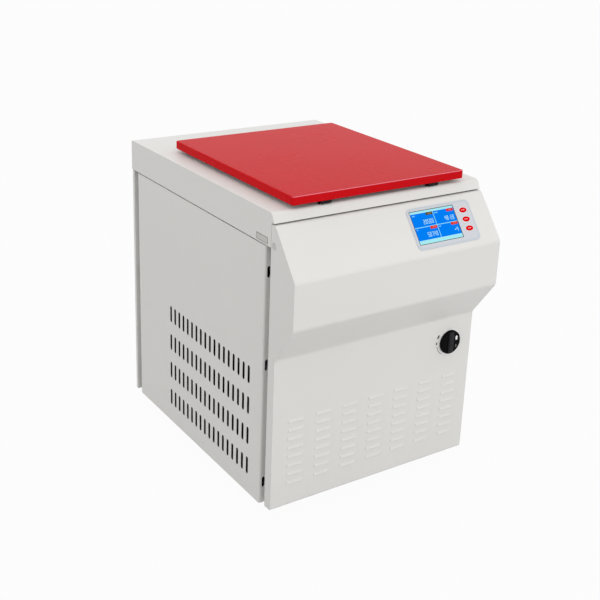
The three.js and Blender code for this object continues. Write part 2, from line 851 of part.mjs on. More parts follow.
const buttonNames = ["button_upper", "button_middle", "button_lower"];
buttonNames.forEach((name, i) => {
  const y = buttonRows[i];
  const face = membraneFace + buttonProud;
  const cap = join(
    prism("z", buttonOutline(y, 0), [buttonBack, face - buttonDome], buttonArcs),
    prism("z", buttonOutline(y, -buttonDome), [buttonBack, face], buttonArcs),
    prism("z", buttonOutline(y, buttonFlange), [buttonBack, buttonBack + buttonFlange], buttonArcs),
  );
  addPiece(controls, name, cap, buttonRed);
});

// Main switch: plate and switch body behind the panel, knob with a bar grip in front
const switchPlateRadius = 36;
const switchPlate = 2;
const switchBodySize = 46;
const switchBodyDepth = 42;
const knobRadius = 32.5;
const knobDisc = 8;
const knobGripWidth = 19;
const knobGripRise = 13;
const knobGripTaper = 3;

const switchPlace = [switchX, switchZ];
const switchBase = join(
  bar("y", switchPlateRadius, [-seatGap - switchPlate, -seatGap], switchPlace, middleEdges),
  bar("y", switchNeckRadius, [-seatGap - switchPlate / 2, panelSheet + switchBodyDepth / 2], switchPlace),
  box(
    [switchX - switchBodySize / 2, switchX + switchBodySize / 2],
    [panelSheet + seatGap, panelSheet + switchBodyDepth],
    [switchZ - switchBodySize / 2, switchZ + switchBodySize / 2],
  ),
);
addPiece(cabinet, "switch_base", switchBase, plugGrey);

const knobSpot = addGroup(cabinet, switchX, -seatGap - switchPlate - seatGap, switchZ);
const gripHalf = knobGripWidth / 2;
const gripOutline = [
  [-gripHalf, 0],
  [gripHalf, 0],
  [gripHalf - knobGripTaper, -knobGripRise],
  [knobGripTaper - gripHalf, -knobGripRise],
];
const gripReach = knobRadius - knobGripTaper;
const knob = join(
  bar("y", knobRadius, [-knobDisc, 0], [0, 0], middleEdges),
  prism("z", polygon(gripOutline), [-gripReach, gripReach]),
);
addPiece(knobSpot, "main_switch_knob", knob, blackPlastic);

// Chamber: bowl, seal ring, evaporator coil, foam jacket, guard ring
const bowlSheet = 2;
const bowlRim = 15;
const bowlCorner = 18;
const bowlDrainRadius = 36;
const bowlOuterRadius = chamberRadius + bowlSheet;
const bowlRimRadius = bowlOuterRadius + bowlRim;
const bowlRimTop = deckUnderside - seatGap;
const chamber = addGroup(cabinet, 0, chamberY, 0);

const bowl = turned([
  [bowlDrainRadius, chamberFloorZ],
  [chamberRadius - bowlCorner, chamberFloorZ],
  [chamberRadius - bowlCorner / 3, chamberFloorZ + bowlCorner / 3],
  [chamberRadius, chamberFloorZ + bowlCorner],
  [chamberRadius, bowlRimTop],
  [bowlRimRadius, bowlRimTop],
  [bowlRimRadius, bowlRimTop - bowlSheet],
  [bowlOuterRadius, bowlRimTop - bowlSheet],
  [bowlOuterRadius, chamberFloorZ + bowlCorner - bowlSheet],
  [bowlOuterRadius - bowlCorner / 3, chamberFloorZ + bowlCorner / 3 - bowlSheet],
  [chamberRadius - bowlCorner + bowlSheet, chamberFloorZ - bowlSheet],
  [bowlDrainRadius, chamberFloorZ - bowlSheet],
], wideEdges);
addPiece(chamber, "chamber_bowl", bowl, stainless);

const sealSetback = 5;
const sealWidth = 14;
const sealGroove = 3;
const sealInnerRadius = chamberRadius + sealSetback;
const linerUnder = hingeZ + lidUnder + seatGap;
const seal = turned([
  [sealInnerRadius, deckHeight + seatGap],
  [sealInnerRadius + sealWidth, deckHeight + seatGap],
  [sealInnerRadius + sealWidth, linerUnder - seatGap - sealGroove],
  [sealInnerRadius + sealWidth / 2 + sealGroove, linerUnder - seatGap],
  [sealInnerRadius + sealWidth / 2 - sealGroove, linerUnder - seatGap],
  [sealInnerRadius, linerUnder - seatGap - sealGroove],
], wideEdges);
addPiece(chamber, "chamber_seal", seal, rubber);

const coilTurns = 4;
const coilPitch = 42;
const coilTubeRadius = 4.8;
const coilGap = 1.8;
const coilLift = 48;
const coilStepsPerTurn = 18;
const coilSectionSteps = 3;
const coilFootZ = chamberFloorZ + coilLift;
const coilRadius = (bowlOuterRadius + seatGap + coilTubeRadius) / Math.cos(Math.PI / coilStepsPerTurn);
const jacketWall = 24;
const jacketFloorGap = 20;
const jacketHeadGap = 7;
const deckBoreRadius = 60;
const guardWall = 12;
const jacketInnerRadius = coilRadius + coilTubeRadius + coilGap;
const jacketOuterRadius = jacketInnerRadius + jacketWall;
const jacketFloorTop = chamberFloorZ - jacketFloorGap;
const jacketTop = deckUnderside - jacketHeadGap;
const guardRadius = jacketOuterRadius + guardWall;

class CoilPath extends THREE.Curve {
  getPoint(share, target = new THREE.Vector3()) {
    const angle = share * coilTurns * 2 * Math.PI;
    return target.set(
      coilRadius * Math.cos(angle),
      coilRadius * Math.sin(angle),
      coilFootZ + share * coilTurns * coilPitch,
    );
  }
}
const tubeSection = new THREE.Shape().absarc(0, 0, coilTubeRadius, 0, 2 * Math.PI);
const coil = new THREE.ExtrudeGeometry(tubeSection, {
  extrudePath: new CoilPath(),
  steps: coilTurns * coilStepsPerTurn,
  curveSegments: coilSectionSteps,
  bevelEnabled: false,
});
addPiece(chamber, "evaporator_coil", solidFrom(coil), copper);

const jacket = turned([
  [deckBoreRadius, motorDeckTop + seatGap],
  [jacketOuterRadius, motorDeckTop + seatGap],
  [jacketOuterRadius, jacketTop],
  [jacketInnerRadius, jacketTop],
  [jacketInnerRadius, jacketFloorTop],
  [deckBoreRadius, jacketFloorTop],
], wideEdges);
addPiece(chamber, "insulation_jacket", jacket, foam);

const guard = turned([
  [jacketOuterRadius + seatGap, motorDeckTop + seatGap],
  [guardRadius, motorDeckTop + seatGap],
  [guardRadius, jacketTop],
  [jacketOuterRadius + seatGap, jacketTop],
], wideEdges);
addPiece(chamber, "guard_ring", guard, frameSteel);

// Motor deck across the middle rails
const motorDeckFrontY = 50;
const motorDeckRearReach = 230;
const motorDeckCorner = 30;
const motorDeckRearY = chamberY + motorDeckRearReach;
const deckEdgeX = postInnerX - seatGap;
const motorDeckOutline = rectangle([-deckEdgeX, deckEdgeX], [motorDeckFrontY, motorDeckRearY]);
const throughMotorDeck = [motorDeckLevel - cutOverrun, motorDeckTop + cutOverrun];
const motorDeck = cut(
  prism("z", eased(motorDeckOutline, motorDeckCorner), [motorDeckLevel, motorDeckTop]),
  bar("z", deckBoreRadius, throughMotorDeck, [0, chamberY], middleEdges),
);
addPiece(cabinet, "motor_deck", motorDeck, frameSteel);

// Drive: motor hung from the deck by three dampers, spindle, boot
const motorRadius = 88;
const motorLength = 224;
const motorFlange = 11;
const motorFlangeRadius = 125;
const motorNeckRadius = 50;
const motorNoseRadius = 30;
const motorNose = 17;
const motorHeadGap = 17;
const motorEndCap = 22;
const grooveCount = 3;
const grooveDepth = 5;
const groovePitch = 34;
const grooveDrop = 89;
const spindleRadius = 12;
const spindleSeatDepth = 30;
const damperRadius = 16;
const damperCircle = 103;
const damperWaist = 4;
const damperHeight = 35;
const motorFlangeTop = motorDeckLevel - damperHeight;
const motorFlangeZ = motorFlangeTop - motorFlange;
const motorFootZ = motorFlangeZ - motorLength;
const motorTopZ = chamberFloorZ - motorHeadGap;
const motorNoseZ = motorTopZ - motorNose;
const grooveMiddleZ = motorFlangeZ - grooveDrop;

function driveMotor() {
  const grooves = spread(grooveCount, groovePitch, grooveMiddleZ).flatMap((z) => [
    [motorRadius, z - grooveDepth],
    [motorRadius - grooveDepth, z - grooveDepth],
    [motorRadius - grooveDepth, z + grooveDepth],
    [motorRadius, z + grooveDepth],
  ]);
  return turned([
    [0, motorFootZ],
    [motorRadius - motorEndCap, motorFootZ],
    [motorRadius, motorFootZ + motorEndCap],
    ...grooves,
    [motorRadius, motorFlangeZ],
    [motorFlangeRadius, motorFlangeZ],
    [motorFlangeRadius, motorFlangeTop],
    [motorNeckRadius, motorFlangeTop],
    [motorNeckRadius, motorNoseZ],
    [motorNoseRadius, motorNoseZ],
    [motorNoseRadius, motorTopZ],
    [spindleRadius + seatGap, motorTopZ],
    [spindleRadius + seatGap, motorTopZ - spindleSeatDepth],
    [0, motorTopZ - spindleSeatDepth],
  ], smallEdges);
}
addPiece(chamber, "drive_motor", driveMotor(), castAluminium);

const damperFoot = motorFlangeTop + seatGap;
const damperTop = motorDeckLevel - seatGap;
const damperProfile = [
  [0, damperFoot],
  [damperRadius, damperFoot],
  [damperRadius - damperWaist, (damperFoot + damperTop) / 2],
  [damperRadius, damperTop],
  [0, damperTop],
];
["damper_front", "damper_left", "damper_right"].forEach((name, i) => {
  const angle = -Math.PI / 2 - (i * 2 * Math.PI) / 3;
  const spot = addGroup(chamber, damperCircle * Math.cos(angle), damperCircle * Math.sin(angle), 0);
  addPiece(spot, name, turned(damperProfile, boltEdges), rubber);
});

const bootTopRadius = 22;
const bootSheet = 2.5;
const bootRise = 12;
const bootFoldRadius = 29;
const boot = turned([
  [bootTopRadius, motorTopZ + seatGap],
  [bootTopRadius, chamberFloorZ + bootRise],
  [bootTopRadius + bootSheet, chamberFloorZ + bootRise],
  [bootFoldRadius, chamberFloorZ + bootRise / 2],
  [bowlDrainRadius + 2 * bootSheet, chamberFloorZ + seatGap + bootSheet],
  [bowlDrainRadius + 2 * bootSheet, chamberFloorZ + seatGap],
  [bootFoldRadius - bootSheet, chamberFloorZ + seatGap],
  [bootTopRadius + bootSheet, motorTopZ + seatGap],
], smallEdges);
addPiece(chamber, "spindle_boot", boot, rubber);

// Rotor: six slanted bores in a cone, on the taper of the spindle
const rotorLift = 23;
const rotorClearance = 27;
const rotorHeightShare = 0.871;
const rotorTopShare = 0.764;
const rotorRimShare = 0.225;
const rotorEdge = 8;
const boreCount = 6;
const boreRadiusShare = 0.174;
const boreDepthShare = 0.618;
const boreCircleShare = 0.545;
const boreEndShare = 0.58;
const boreEndRiseShare = 0.387;
const boreTilt = THREE.MathUtils.degToRad(20);
const hubShare = 0.247;
const hubWaistShare = 0.315;
const hubTopShare = 0.798;
const hubFootRadius = 30;
const rotorPocketDepth = 12;
const taperFootRadius = 13;
const taperTopRadius = 10;
const taperHeight = 45;
const taperGap = 0.3;
const rotorFootZ = chamberFloorZ + rotorLift;
const rotorFootRadius = chamberRadius - rotorClearance;
const rotorHeight = rotorHeightShare * rotorFootRadius;
const rotorTopRadius = rotorTopShare * rotorFootRadius;
const rotorRimHeight = rotorRimShare * rotorFootRadius;
const boreRadius = boreRadiusShare * rotorFootRadius;
const boreDepth = boreDepthShare * rotorFootRadius;
const boreCircle = boreCircleShare * rotorFootRadius;
const boreEndRadius = boreEndShare * boreRadius;
const boreEndRise = boreEndRiseShare * boreRadius;
const hubRadius = hubShare * rotorFootRadius;
const hubWaistRadius = hubWaistShare * rotorFootRadius;
const hubTopZ = hubTopShare * rotorFootRadius;
const rotorTopFall = (rotorTopRadius - hubWaistRadius) * Math.tan(boreTilt);
const bowlCentre = addGroup(chamber, 0, 0, rotorFootZ);

const spindle = turned([
  [0, motorTopZ - spindleSeatDepth + seatGap - rotorFootZ],
  [spindleRadius, motorTopZ - spindleSeatDepth + seatGap - rotorFootZ],
  [spindleRadius, -taperHeight / 3],
  [taperFootRadius, -taperHeight / 4],
  [taperFootRadius, 0],
  [taperTopRadius, taperHeight],
  [0, taperHeight],
], smallEdges);
addPiece(bowlCentre, "drive_spindle", spindle, stainless);

function slantedBore(angle) {
  const profile = [
    [0, -boreDepth],
    [boreEndRadius, -boreDepth],
    [boreRadius, boreEndRise - boreDepth],
    [boreRadius, boreRadius],
    [0, boreRadius],
  ];
  const mouthZ = rotorHeight - (rotorTopRadius - boreCircle) * Math.tan(boreTilt);
  const lean = new THREE.Matrix4().makeRotationY(-boreTilt).setPosition(boreCircle, 0, mouthZ);
  const turn = new THREE.Matrix4().makeRotationZ(angle);
  return placed(turned(profile, smallEdges), turn.multiply(lean));
}

function rotorBody() {
  const blank = turned([
    [taperFootRadius + taperGap, 0],
    [hubFootRadius, 0],
    [hubFootRadius + rotorEdge, rotorPocketDepth],
    [rotorFootRadius - 3 * rotorEdge, rotorPocketDepth],
    [rotorFootRadius - 2 * rotorEdge, 0],
    [rotorFootRadius - rotorEdge, 0],
    [rotorFootRadius, rotorEdge],
    [rotorFootRadius, rotorRimHeight],
    [rotorTopRadius, rotorHeight],
    [hubWaistRadius, rotorHeight - rotorTopFall],
    [hubRadius, rotorHeight - rotorTopFall],
    [hubRadius, hubTopZ],
    [taperTopRadius, hubTopZ],
    [taperTopRadius, taperHeight + taperGap],
    [taperTopRadius + taperGap, taperHeight + taperGap],
    [taperTopRadius + taperGap, taperHeight],
  ], middleEdges);
  const bores = Array.from({ length: boreCount }, (_, i) => slantedBore((i * 2 * Math.PI) / boreCount));
  return cut(blank, ...bores);
}
addPiece(bowlCentre, "rotor", rotorBody(), anodised);

// Rotor knob: six-lobed hand nut whose screw stands in the hub
const rotorKnobRadius = 26;
const rotorKnobHeight = 24;
const rotorKnobEdge = 4;
const rotorKnobNotch = 7;
const rotorKnobNotches = 6;
const rotorScrewLength = 30;
const rotorKnobFlange = 5;
const rotorKnob = cut(
  turned([
    [0, hubTopZ + seatGap - rotorScrewLength],
    [taperTopRadius - turnGap, hubTopZ + seatGap - rotorScrewLength],
    [taperTopRadius - turnGap, hubTopZ + seatGap],
    [rotorKnobRadius + rotorKnobEdge, hubTopZ + seatGap],
    [rotorKnobRadius + rotorKnobEdge, hubTopZ + seatGap + rotorKnobFlange],
    [rotorKnobRadius, hubTopZ + seatGap + rotorKnobFlange],
    [rotorKnobRadius, hubTopZ + rotorKnobHeight - rotorKnobEdge],
    [rotorKnobRadius - rotorKnobEdge, hubTopZ + rotorKnobHeight],
    [0, hubTopZ + rotorKnobHeight],
  ], smallEdges),
  ...Array.from({ length: rotorKnobNotches }, (_, i) => {
    const angle = (i * 2 * Math.PI) / rotorKnobNotches;
    const reach = rotorKnobRadius + rotorKnobNotch / 2;
    return bar(
      "z",
      rotorKnobNotch,
      [hubTopZ + seatGap + rotorKnobFlange, hubTopZ + rotorKnobHeight + cutOverrun],
      [reach * Math.cos(angle), reach * Math.sin(angle)],
      boltEdges,
    );
  }),
);
addPiece(bowlCentre, "rotor_knob", rotorKnob, blackPlastic);

// Cooling: compressor, condenser, fan
const compressorSideRoom = 130;
const compressorRearRoom = 142;
const compressorRadius = 82;
const compressorHeight = 210;
const compressorDome = 40;
const compressorSeam = 5;
const compressorSeamZ = 110;
const compressorLegWidth = 190;
const compressorLegDepth = 60;
const compressorLegHeight = 12;
const floorZ = basePlateTop + seatGap;
const compressorX = compressorSideRoom - postInnerX;
const compressorY = cabinetDepth - compressorRearRoom;

const compressor = join(
  turned([
    [0, floorZ + compressorLegHeight / 2],
    [compressorRadius - compressorDome / 2, floorZ + compressorLegHeight / 2],
    [compressorRadius, floorZ + compressorDome],
    [compressorRadius, compressorSeamZ - compressorSeam],
    [compressorRadius + compressorSeam, compressorSeamZ - compressorSeam],
    [compressorRadius + compressorSeam, compressorSeamZ + compressorSeam],
    [compressorRadius, compressorSeamZ + compressorSeam],
    [compressorRadius, compressorHeight - compressorDome],
    [compressorRadius - compressorDome / 2, compressorHeight - compressorDome / 4],
    [0, compressorHeight],
  ], smallEdges),
  box(
    [-compressorLegWidth / 2, compressorLegWidth / 2],
    [-compressorLegDepth / 2, compressorLegDepth / 2],
    [floorZ, floorZ + compressorLegHeight],
  ),
);
const compressorSpot = addGroup(cabinet, compressorX, compressorY, 0);
addPiece(compressorSpot, "compressor", compressor, blackEnamel);

const coolerX = -20;
const condenserWidth = 340;
const condenserHeight = 280;
const condenserDepth = 38;
const condenserSetback = 231;
const condenserFins = 22;
const condenserFinDepth = 7;
const condenserFinShare = 0.5;
const condenserFrontY = chamberY - condenserSetback;
const condenserBackY = condenserFrontY + condenserDepth;

function combOutline(width, back, front, depth, count, finShare) {
  const pitch = width / (count - 1 + finShare);
  const fin = pitch * finShare;
  const points = [];
  for (let i = 0; i < count; i += 1) {
    const u = -width / 2 + i * pitch;
    points.push([u, front + depth], [u, front], [u + fin, front], [u + fin, front + depth]);
  }
  return [...points.slice(1, -1), [width / 2, back], [-width / 2, back]];
}
const condenserOutline = combOutline(
  condenserWidth,
  condenserBackY,
  condenserFrontY,
  condenserFinDepth,
  condenserFins,
  condenserFinShare,
);
const condenserSpot = addGroup(cabinet, coolerX, 0, 0);
const condenserSolid = prism("z", polygon(condenserOutline), [floorZ, floorZ + condenserHeight]);
addPiece(condenserSpot, "condenser", condenserSolid, castAluminium);

const fanRadius = 112;
const fanDuctGap = 5;
const fanDuctSheet = 3;
const fanDuctDepth = 44;
const shroudSheet = 2;
const fanBladeCount = 7;
const fanBladeSheet = 2.2;
const fanBladeChord = 62;
const fanBladeTilt = THREE.MathUtils.degToRad(28);
const fanHubRadius = 30;
const fanHubDepth = 20;
const fanMotorRadius = 26;
const fanMotorDepth = 34;
const fanArmWidth = 10;
const fanAxleRadius = 4;
const fanZ = floorZ + condenserHeight / 2;
const shroudFrontY = condenserBackY + seatGap;
const ductRadius = fanRadius + fanDuctGap;
const fanMotorFrontY = shroudFrontY + fanDuctDepth - fanArmWidth / 2;
const fanMiddleY = (shroudFrontY + fanMotorFrontY) / 2;

function fanShroud() {
  const duct = ductRadius + fanDuctSheet;
  const ductEnd = shroudFrontY + fanDuctDepth;
  const ring = cut(
    bar("y", duct, [shroudFrontY, ductEnd], [0, fanZ], middleEdges),
    bar("y", ductRadius, [shroudFrontY - cutOverrun, ductEnd + cutOverrun], [0, fanZ], middleEdges),
  );
  const plate = cut(
    box(
      [-condenserWidth / 2, condenserWidth / 2],
      [shroudFrontY, shroudFrontY + shroudSheet],
      [floorZ, floorZ + condenserHeight],
    ),
    bar("y", ductRadius, [shroudFrontY - cutOverrun, shroudFrontY + cutOverrun], [0, fanZ], middleEdges),
  );
  const armY = [fanMotorFrontY, fanMotorFrontY + fanArmWidth / 2];
  const arms = join(
    box([-duct, duct], armY, [fanZ - fanArmWidth / 2, fanZ + fanArmWidth / 2]),
    box([-fanArmWidth / 2, fanArmWidth / 2], armY, [fanZ - duct, fanZ + duct]),
  );
  return join(
    plate,
    ring,
    arms,
    bar("y", fanMotorRadius, [fanMotorFrontY, fanMotorFrontY + fanMotorDepth], [0, fanZ]),
    bar("y", fanAxleRadius, [fanMiddleY, fanMotorFrontY + fanArmWidth], [0, fanZ], boltEdges),
  );
}
addPiece(condenserSpot, "fan_shroud", fanShroud(), zincPlate);

function fanBlades() {
  const hub = bar("y", fanHubRadius, [-fanHubDepth / 2, fanHubDepth / 2], [0, 0]);
  const rootHalf = fanBladeChord / 3;
  const tipHalf = fanBladeChord / 2;
  const rootZ = fanHubRadius / 2;
  const bladeOutline = eased(
    [[-rootHalf, rootZ], [rootHalf, rootZ], [tipHalf, fanRadius], [-tipHalf, fanRadius]],
    [0, 0, fanBladeChord / 3, fanBladeChord / 4],
  );
  const flat = prism("y", bladeOutline, [-fanBladeSheet / 2, fanBladeSheet / 2]);
  const rim = cut(
    bar("y", 2 * ductRadius, [-fanDuctDepth, fanDuctDepth], [0, 0]),
    bar("y", fanRadius, [-fanDuctDepth - cutOverrun, fanDuctDepth + cutOverrun], [0, 0], wideEdges),
  );
  const blades = Array.from({ length: fanBladeCount }, (_, i) => {
    const pitch = new THREE.Matrix4().makeRotationZ(fanBladeTilt);
    const turn = new THREE.Matrix4().makeRotationY((i * 2 * Math.PI) / fanBladeCount);
    return placed(flat, turn.multiply(pitch));
  });
  const bore = bar("y", fanAxleRadius + turnGap, [-seatGap, fanHubDepth], [0, 0], boltEdges);
  return cut(join(hub, ...blades), rim, bore);
}
const fanSpot = addGroup(condenserSpot, 0, fanMiddleY, fanZ);
addPiece(fanSpot, "fan_blades", fanBlades(), blackPlastic);

// Power unit: finned box on the base plate
const powerUnitSideRoom = 75;
const powerUnitRearRoom = 212;
const powerUnitWidth = 130;
const powerUnitDepth = 250;
const powerUnitHeight = 220;
const powerFins = 12;
const powerFinDepth = 16;
const powerFinShare = 0.45;
const powerOutline = combOutline(
  powerUnitDepth,
  powerUnitWidth / 2,
  -powerUnitWidth / 2,
  powerFinDepth,
  powerFins,
  powerFinShare,
);
const powerSpot = addGroup(cabinet, postInnerX - powerUnitSideRoom, cabinetDepth - powerUnitRearRoom, 0);
powerSpot.rotation.z = -Math.PI / 2;
const powerSolid = prism("z", polygon(powerOutline), [floorZ, floorZ + powerUnitHeight]);
addPiece(powerSpot, "power_unit", powerSolid, castAluminium);

// Hinge brackets on the deck: base plate, two ears and the pin between them
const bracketSheet = 3;
const earSheet = 5;
const bracketReach = 24;
const bracketFront = 13;
const bracketSpread = 12;

function hingeBracket() {
  const foot = seatGap - hingeRise;
  const ears = [
    [knuckleX[0] - seatGap - earSheet, knuckleX[0] - seatGap],
    [knuckleX[1] + seatGap, knuckleX[1] + seatGap + earSheet],
  ];
  const earSolids = ears.map((xRange) =>
    join(bar("x", knuckleRadius, xRange, [0, 0]), box(xRange, [-knuckleRadius, knuckleRadius], [foot, 0])),
  );
  return join(
    box(
      [knuckleX[0] - earSheet - bracketSpread, knuckleX[1] + earSheet + bracketSpread],
      [-bracketFront, bracketReach],
      [foot, foot + bracketSheet],
    ),
    ...earSolids,
    bar("x", hingePinRadius, [knuckleX[0] - earSheet, knuckleX[1] + earSheet], [0, 0], boltEdges),
  );
}

// Lid arms: leaf under the lid, knuckle round the pin and lug for the strut
const leafSheet = 3;
const leafReach = 110;
const leafRear = 18;

function lidArm() {
  const leafTop = lidUnder - seatGap;
  const leafZ = [leafTop - leafSheet, leafTop];
  const [headY, headZ] = strutHeadPlace;
  const lug = join(
    bar("x", lugReach, lugX, [headY, headZ]),
    box(lugX, [headY - lugReach, headY + lugReach], [headZ, leafTop]),
  );
  return cut(
    join(
      box(knuckleX, [-leafReach, 0], leafZ),
      box([knuckleX[0], lugX[1]], [-leafReach, -leafRear], leafZ),
      bar("x", knuckleRadius, knuckleX, [0, 0]),
      lug,
    ),
    bar("x", hingePinRadius + turnGap, [knuckleX[0] - cutOverrun, lugX[1] + cutOverrun], [0, 0], boltEdges),
  );
}

const lid = addGroup(cabinet, 0, hingeY, hingeZ);
for (const [hand, side] of Object.entries(sides)) {
  const spot = addGroup(cabinet, 0, hingeY, hingeZ);
  addPiece(spot, `hinge_bracket_${hand}`, handed(hingeBracket(), side), zincPlate);
  addPiece(lid, `lid_arm_${hand}`, handed(lidArm(), side), zincPlate);
}

// Lid: red shell open below, foam slab, liner plate with a dish that enters the chamber
const lidCorner = 8;
const lidRound = 4;
const lidEdgeSteps = 3;
const dishInset = 9;
const dishDrop = 24;
const dishSheet = 2;
const dishCorner = 6;
const linerSheet = 1.5;
const dishRadius = chamberRadius - dishInset;
const dishY = chamberY - hingeY;

function lidShell() {
  const outline = rectangle(
    [lidRound - lidWidth / 2, lidWidth / 2 - lidRound],
    [lidFront + lidRound, -hingeSetback - lidRound],
  );
  const block = new THREE.ExtrudeGeometry(eased(outline, lidCorner), {
    depth: lidThickness - 2 * lidRound,
    bevelEnabled: true,
    bevelThickness: lidRound,
    bevelSize: lidRound,
    bevelSegments: lidEdgeSteps,
    curveSegments: lidEdgeSteps,
  });
  block.translate(0, 0, lidUnder + lidRound);
  const hollow = box(
    [lidSheet + lidRound - lidWidth / 2, lidWidth / 2 - lidSheet - lidRound],
    [lidFront + lidSheet + lidRound, -hingeSetback - lidSheet - lidRound],
    [lidUnder - cutOverrun, lidTop - lidSheet],
  );
  return cut(solidFrom(block), hollow);
}
addPiece(lid, "lid_shell", lidShell(), lidPaint);

const linerX = lidWidth / 2 - lidSheet - lidRound - seatGap;
const linerFront = lidFront + lidSheet + lidRound + seatGap;
const linerRear = -hingeSetback - lidSheet - lidRound - seatGap;
const linerFoot = lidUnder + seatGap;
const linerTop = linerFoot + linerSheet;
const dish = turned([
  [0, linerFoot - dishDrop],
  [dishRadius - dishCorner, linerFoot - dishDrop],
  [dishRadius, linerFoot - dishDrop + dishCorner],
  [dishRadius, linerTop],
  [0, linerTop],
], wideEdges);
const dishHollow = turned([
  [0, linerFoot - dishDrop + dishSheet],
  [dishRadius - dishCorner, linerFoot - dishDrop + dishSheet],
  [dishRadius - dishSheet, linerFoot - dishDrop + dishCorner],
  [dishRadius - dishSheet, linerTop + cutOverrun],
  [0, linerTop + cutOverrun],
], wideEdges);
const liner = cut(
  join(box([-linerX, linerX], [linerFront, linerRear], [linerFoot, linerTop]), shifted(dish, 0, dishY, 0)),
  shifted(dishHollow, 0, dishY, 0),
);
addPiece(lid, "lid_liner", liner, stainless);

const slabRange = [linerTop + seatGap, lidTop - lidSheet - seatGap];
const slab = box([-linerX, linerX], [linerFront, linerRear], slabRange);
addPiece(lid, "lid_foam", slab, foam);

// Strikers: block under the lid's front edge and a windowed tongue through the deck
const strikerHeight = 7.4;
const tongueWindowWidth = 12;
const tongueWindowHeight = 15;
const tongueWindowFoot = 8;
const strikerEase = 3;

const strikerTop = lidUnder - seatGap;
const tongueFoot = strikerTop - tongueDrop;
const strikerBlock = rectangle(
  [-strikerWidth / 2, strikerWidth / 2],
  [strikerTop - strikerHeight, strikerTop],
);
const striker = cut(
  join(
    prism("y", eased(strikerBlock, [strikerEase, strikerEase, 0, 0]), [
      -tongueSetback - strikerDepth / 2,
      strikerDepth / 2 - tongueSetback,
    ]),
    box([-tongueWidth / 2, tongueWidth / 2], [-tongueSheet / 2, tongueSheet / 2], [tongueFoot, strikerTop]),
  ),
  box(
    [-tongueWindowWidth / 2, tongueWindowWidth / 2],
    [-tongueSheet, tongueSheet],
    [tongueFoot + tongueWindowFoot, tongueFoot + tongueWindowFoot + tongueWindowHeight],
  ),
);
for (const [hand, side] of Object.entries(sides)) {
  const spot = addGroup(lid, side * lockX, tongueY - hingeY, 0);
  addPiece(spot, `lid_striker_${hand}`, striker, blackPlastic);
}

// Lock units: cheeks and flange under the deck, and a hook that swings into the tongue's window
const lockCheekX = tongueWidth / 2 + tongueClearance;
const lockCheekSheet = 3;
const lockPivotY = 11;
const lockPinRadius = 3;
const lockBackY = 46;
const lockFrontY = -4;
const lockDriveY = 24;
const lockFlangeReach = 10;
const hookWidth = 8;
const hookArm = 7;
const hookBoss = 6.5;
const hookNoseReach = 17;
const hookNoseHeight = 7;
const hookReleaseAngle = THREE.MathUtils.degToRad(26);
const hookNoseZ = hingeZ + tongueFoot + tongueWindowFoot + (tongueWindowHeight - hookNoseHeight) / 2;
const hookRise = 37;
const lockPivotZ = hookNoseZ + hookNoseHeight - hookRise;
const lockTop = deckUnderside - seatGap;
const lockFoot = lockPivotZ - hookBoss - lockCheekSheet;

function lockUnit() {
  const cheeks = Object.values(sides).map((side) =>
    box(
      [side * lockCheekX, side * (lockCheekX + lockCheekSheet)],
      [lockFrontY, lockBackY],
      [lockFoot, lockTop],
    ),
  );
  const flanges = Object.values(sides).map((side) =>
    box(
      [side * lockCheekX, side * (lockCheekX + lockCheekSheet + lockFlangeReach)],
      [lockPivotY, lockBackY],
      [lockTop - lockCheekSheet, lockTop],
    ),
  );
  return join(
    ...cheeks,
    ...flanges,
    bar(
      "x",
      lockPinRadius,
      [-lockCheekX - lockCheekSheet / 2, lockCheekX + lockCheekSheet / 2],
      [lockPivotY, lockPivotZ],
      boltEdges,
    ),
    box(
      [-lockCheekX - lockCheekSheet / 2, lockCheekX + lockCheekSheet / 2],
      [lockPivotY + lockDriveY, lockBackY],
      [lockFoot, lockTop - lockCheekSheet],
    ),
  );
}

function lockHook() {
  const top = hookRise;
  const arm = [
    [-hookArm / 2, 0],
    [hookArm / 2, 0],
    [hookArm / 2, top],
    [-hookNoseReach, top],
    [-hookNoseReach, top - hookNoseHeight],
    [-hookArm / 2, top - hookNoseHeight],
  ];
  return cut(
    join(
      prism("x", polygon(arm), [-hookWidth / 2, hookWidth / 2]),
      bar("x", hookBoss, [-hookWidth / 2, hookWidth / 2], [0, 0], boltEdges),
    ),
    bar("x", lockPinRadius + turnGap, [-hookWidth, hookWidth], [0, 0], boltEdges),
  );
}
for (const [hand, side] of Object.entries(sides)) {
  const unit = addGroup(cabinet, side * lockX, tongueY, 0);
  addPiece(unit, `lock_unit_${hand}`, lockUnit(), zincPlate);
  const pivot = addGroup(unit, 0, lockPivotY, lockPivotZ);
  pivot.rotation.x = -hookReleaseAngle;
  addPiece(pivot, `lock_hook_${hand}`, lockHook(), frameSteel);
}

// Gas struts: cylinder on the frame's pin, rod up to the lid's lug; local +Z runs up the strut
const strutTubeRadius = 9;
const strutTubeWall = 1.7;
const strutRodRadius = 4;
const strutTubeLength = 150;
const strutGuide = 8;
const strutSpanBack = strutHeadPlace[0] - strutFootPlace[0];
const strutSpanUp = strutHeadPlace[1] - strutFootPlace[1];
const strutLength = Math.hypot(strutSpanBack, strutSpanUp);
const strutLean = Math.atan2(-strutSpanBack, strutSpanUp);

